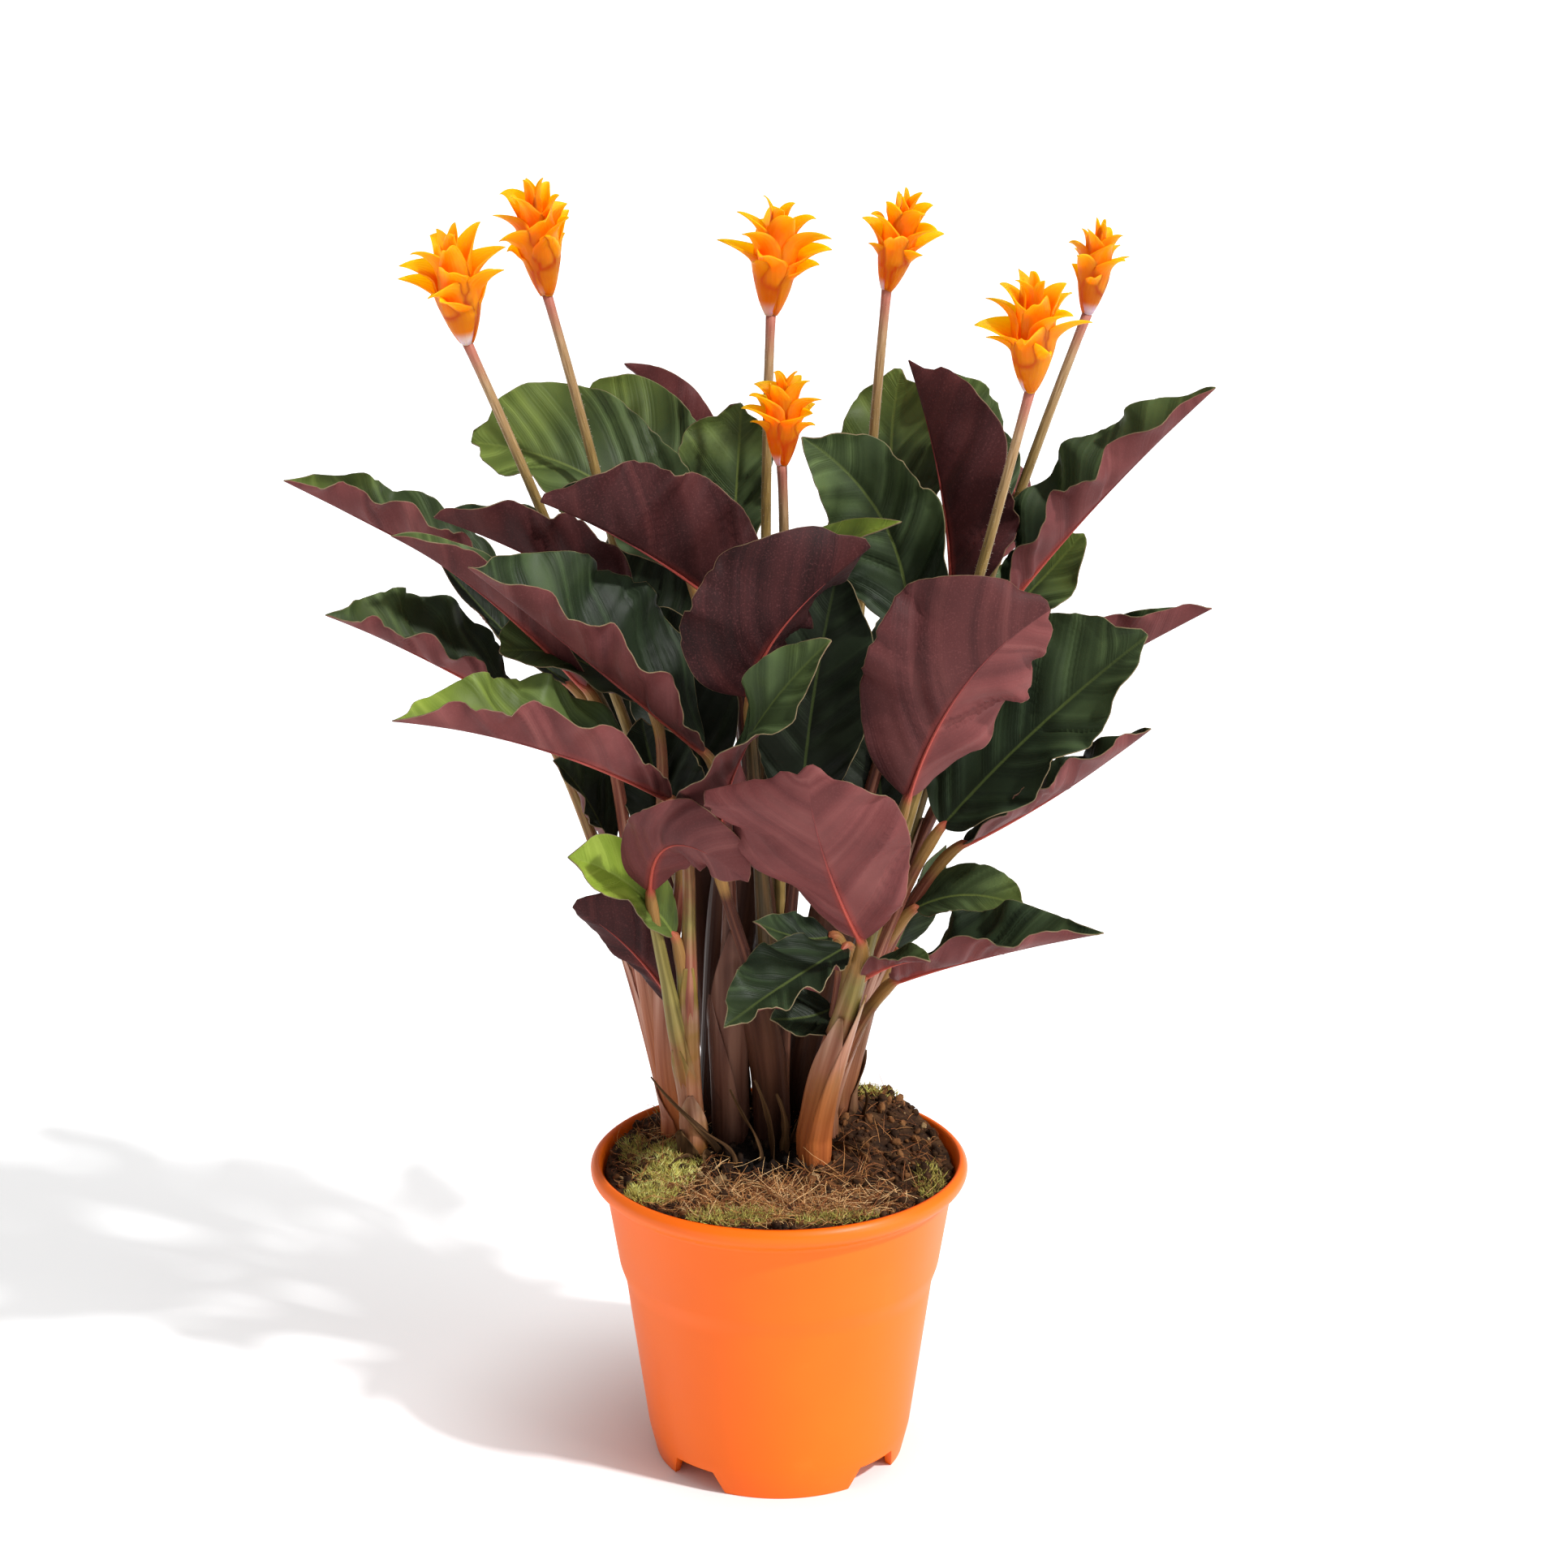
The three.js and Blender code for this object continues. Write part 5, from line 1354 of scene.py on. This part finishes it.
def build_crumbs(looks):
    chance = np.random.default_rng(7)
    skin = Skin()
    for _ in range(CRUMBS):
        x, y = spot_on_soil(chance)
        size = chance.choice([0.7, 1.1, 1.7, 2.6, 3.4], p=[0.38, 0.32, 0.2, 0.07, 0.03])
        kind = int(chance.choice([0, 1, 2], p=[0.63, 0.33, 0.04]))
        add_lump(skin, np.array([x, y, ground_at(x, y) + 0.25 * size]), size, kind, chance)
    skin.make("soil_crumbs", looks["peat"])


# moss cushions: middle, half lengths across and away, how many shoots, how bright
MOSS = [
    ((-41, -6), (13, 19), 2800, 0.6),
    ((-46, -30), (12, 10), 1200, 0.55),
    ((-55, 10), (6, 12), 500, 0.45),
    ((-16, -51), (20, 9), 1100, 0.42),
    ((20, -54), (20, 6), 700, 0.35),
    ((56, -18), (6, 16), 500, 0.25),
    ((-30, 46), (18, 9), 700, 0.4),
    ((34, 46), (16, 9), 500, 0.4),
]


def build_moss(material):
    chance = np.random.default_rng(11)
    skin = Skin()
    for (cx, cy), (wide, deep), count, bright in MOSS:
        for _ in range(count):
            r = math.sqrt(chance.uniform()) * chance.uniform(0.75, 1.05)
            a = chance.uniform(0, 2 * math.pi)
            x, y = cx + wide * r * math.cos(a), cy + deep * r * math.sin(a)
            if math.hypot(x, y) > PLANTED_RADIUS:
                continue
            cushion = 1.8 * max(0, 1 - r * r)
            root = np.array([x, y, ground_at(x, y) + cushion * chance.uniform(0.2, 1.0)])
            tilt = chance.normal(0, 1.0, 2)
            tip = root + unit(np.array([tilt[0], tilt[1], 1.0])) * chance.uniform(1.6, 4.6)
            tone = bright + chance.normal(0, 0.2) + 0.45 * roughness_at(x, y, 5, 3)
            add_spike(skin, root - [0, 0, 0.6], tip, chance.uniform(0.16, 0.36), tone)
    skin.make("moss", [material])


def straw_start(chance, k):
    """One fibre in five starts anywhere, one in five at the left and the others at the front."""
    if k % 5 == 0:
        return spot_on_soil(chance, STRAW_RADIUS - 1)
    if k % 5 == 1:
        return chance.normal(-40, 13), chance.normal(8, 20)
    return chance.normal(4, 25), chance.normal(-41, 11)


def build_straw(material):
    """Coir and root fibres that lie over the soil, thickest at the front, none at the crown."""
    chance = np.random.default_rng(23)
    skin = Skin()
    bare_x, bare_y, bare_wide, bare_deep = CROWN_BARE
    for k in range(STRAWS):
        x, y = straw_start(chance, k)
        if math.hypot(x, y) > STRAW_RADIUS:
            continue
        if math.hypot((x - bare_x) / bare_wide, (y - bare_y) / bare_deep) < chance.uniform(0.8, 1.2):
            continue
        heading = chance.uniform(0, 2 * math.pi)
        turning = chance.normal(0, 0.04)
        length = chance.uniform(5, 22)
        points = []
        hump = chance.uniform(0.3, 2.4)
        raised = chance.choice([0, 3, 7], p=[0.68, 0.2, 0.12])
        for i in range(STRAW_STEPS):
            share = i / (STRAW_STEPS - 1)
            lift = 0.4 + hump * math.sin(math.pi * share) + raised * share ** 2
            points.append([x, y, ground_at(x, y) + lift])
            x += length / STRAW_STEPS * math.cos(heading)
            y += length / STRAW_STEPS * math.sin(heading)
            heading += turning + chance.normal(0, 0.02)
            away = math.hypot(x, y)
            if away > STRAW_END_RADIUS:
                x, y = x * STRAW_END_RADIUS / away, y * STRAW_END_RADIUS / away
        radius = chance.uniform(0.07, 0.17)
        tone = chance.uniform(0.0, 0.6) if k % 5 == 0 else chance.uniform(0.1, 1)
        radii = np.linspace(radius, 0.6 * radius, STRAW_STEPS)
        tube(skin, points, radii, 3, dict(strand=pair(1.0, tone, radii)))
    skin.make("straw", [material])


# dry strips of old sheaths and thin roots at the crown: their foot, bend and end, and half width
STRIPS = [
    ((-22, 2, 117), (-36, -6, 135), (-47, -8, 152), 1.5),
    ((-16, -4, 117), (-22, -8, 126), (-30, -10, 133), 1.2),
    ((-6, 0, 118), (-12, -4, 132), (-18, -8, 147), 2.2),
    ((-2, 0, 118), (-3, -2, 134), (-9, -6, 150), 1.8),
    ((2, 2, 118), (4, -2, 131), (-1, -5, 144), 2.0),
    ((4, 4, 118), (10, 0, 134), (12, -2, 150), 1.6),
    ((-26, -2, 116), (-31, -8, 122), (-26, -14, 118), 2.2),
    ((-30, -4, 116), (-38, -6, 120), (-42, -10, 116), 1.4),
    ((30, 26, 118), (36, 22, 130), (31, 18, 138), 1.0),
    ((20, 6, 117), (26, 0, 122), (33, -3, 119), 1.1),
]


def build_strips(look):
    skin = Skin()
    share = np.linspace(0, 1, 20)
    across = np.linspace(-1, 1, 7)
    for k, (foot, bend, end, half) in enumerate(STRIPS):
        foot, bend, end = (np.array(p, float) for p in (foot, bend, end))
        spine = bezier([foot - [0, 0, 2], foot + [0, 0, 6], bend, end], share)
        _, side, other = path_frames(spine)
        flat = outward(side, other, (0.6 * k + 1.4 * share)[:, None])
        width = (half * (1 - 0.8 * share ** 1.5) * (1 + 0.15 * np.sin(17 * share + k)))[:, None]
        curl = np.cross(unit(np.gradient(spine, axis=0)), flat[:, 0])[:, None, :]
        sheet = spine[:, None, :] + (width * across)[..., None] * flat
        sheet = sheet + (0.35 * width * across ** 2)[..., None] * curl
        like = sheet[..., 0]
        maps = dict(
            stem=pair(share[:, None], 0.1 * across[None, :] + 0.13 * k, like),
            stem_kind=pair(1, 0, like),
            # 0.6 gives the strips some of the sheath skin's painted shade
            shoot=pair(0.6, 0, like),
        )
        shell(skin, sheet, 0.2, maps, kinds=(0, 0, 0))
    skin.make("dry_strips", [look])


# ---------------------------------------------------------------- stage
def build_camera():
    data = bpy.data.cameras.new("camera")
    data.sensor_width = SENSOR
    data.lens = FOCAL_LENGTH / VIEW_SIDE * SENSOR
    data.clip_end = 100
    camera = placed("camera", data)
    camera.location = Vector(CAMERA_PLACE) * MM
    camera.rotation_euler = (math.radians(90 - CAMERA_DOWN), 0, 0)
    bpy.context.scene.camera = camera


def add_lamp(name, strength, spread, source):
    lamp = bpy.data.lights.new(name, "SUN")
    lamp.energy = strength
    lamp.angle = math.radians(spread)
    placed(name, lamp).rotation_euler = Vector(source).to_track_quat("Z", "Y").to_euler()


def build_light():
    add_lamp("key", KEY_STRENGTH, KEY_SPREAD, KEY_FROM)
    add_lamp("fill", FILL_STRENGTH, FILL_SPREAD, FILL_FROM)
    world = bpy.data.worlds.new("studio")
    world.use_nodes = True
    world.node_tree.nodes["Background"].inputs[0].default_value = (1, 1, 1, 1)
    world.node_tree.nodes["Background"].inputs[1].default_value = SKY_STRENGTH
    bpy.context.scene.world = world
    bpy.context.scene.view_settings.view_transform = "Standard"


def build_floor():
    half = FLOOR_SIDE / 2 * MM
    corners = [(-half, -half, 0), (half, -half, 0), (half, half, 0), (-half, half, 0)]
    mesh = bpy.data.meshes.new("floor")
    mesh.from_pydata(corners, [], [(0, 1, 2, 3)])
    mesh.materials.append(floor_paper())
    placed("floor", mesh)


# ---------------------------------------------------------------- assembly
build_camera()
build_light()
build_floor()

looks = dict(
    leaf=[leaf_upper(), leaf_under(), leaf_edge()],
    stem=[stem_skin(), stalk_skin(), sheath_skin()],
    hair=[strand("hair_skin", "d8c8b0", "efe6d8")],
    peat=[
        peat("peat_dark", "170e09", "3a2414", "62442a"),
        peat("peat_brown", "3a2212", "6e4728", "9a6e44"),
        peat("peat_pale", "6a5236", "9c805a", "c8b28a"),
    ],
)
bracts = bract_skin()
flowers = 0
for number, (name, shoot) in enumerate(SHOOTS.items()):
    build_shoot(name, shoot, number, looks)
    for flower_name, flower in shoot.get("flowers", {}).items():
        flowers += 1
        bloom(flower_name, flower, flowers, [bracts])

build_pot(pot_plastic())
build_soil(looks)
build_crumbs(looks)
build_moss(strand("moss_skin", "5e4c24", "a08f42", "c9c25e", "e6e794"))
build_straw(strand("straw_skin", "341c0e", "945730", "cf9457", "fad49c"))
build_strips(looks["stem"][2])
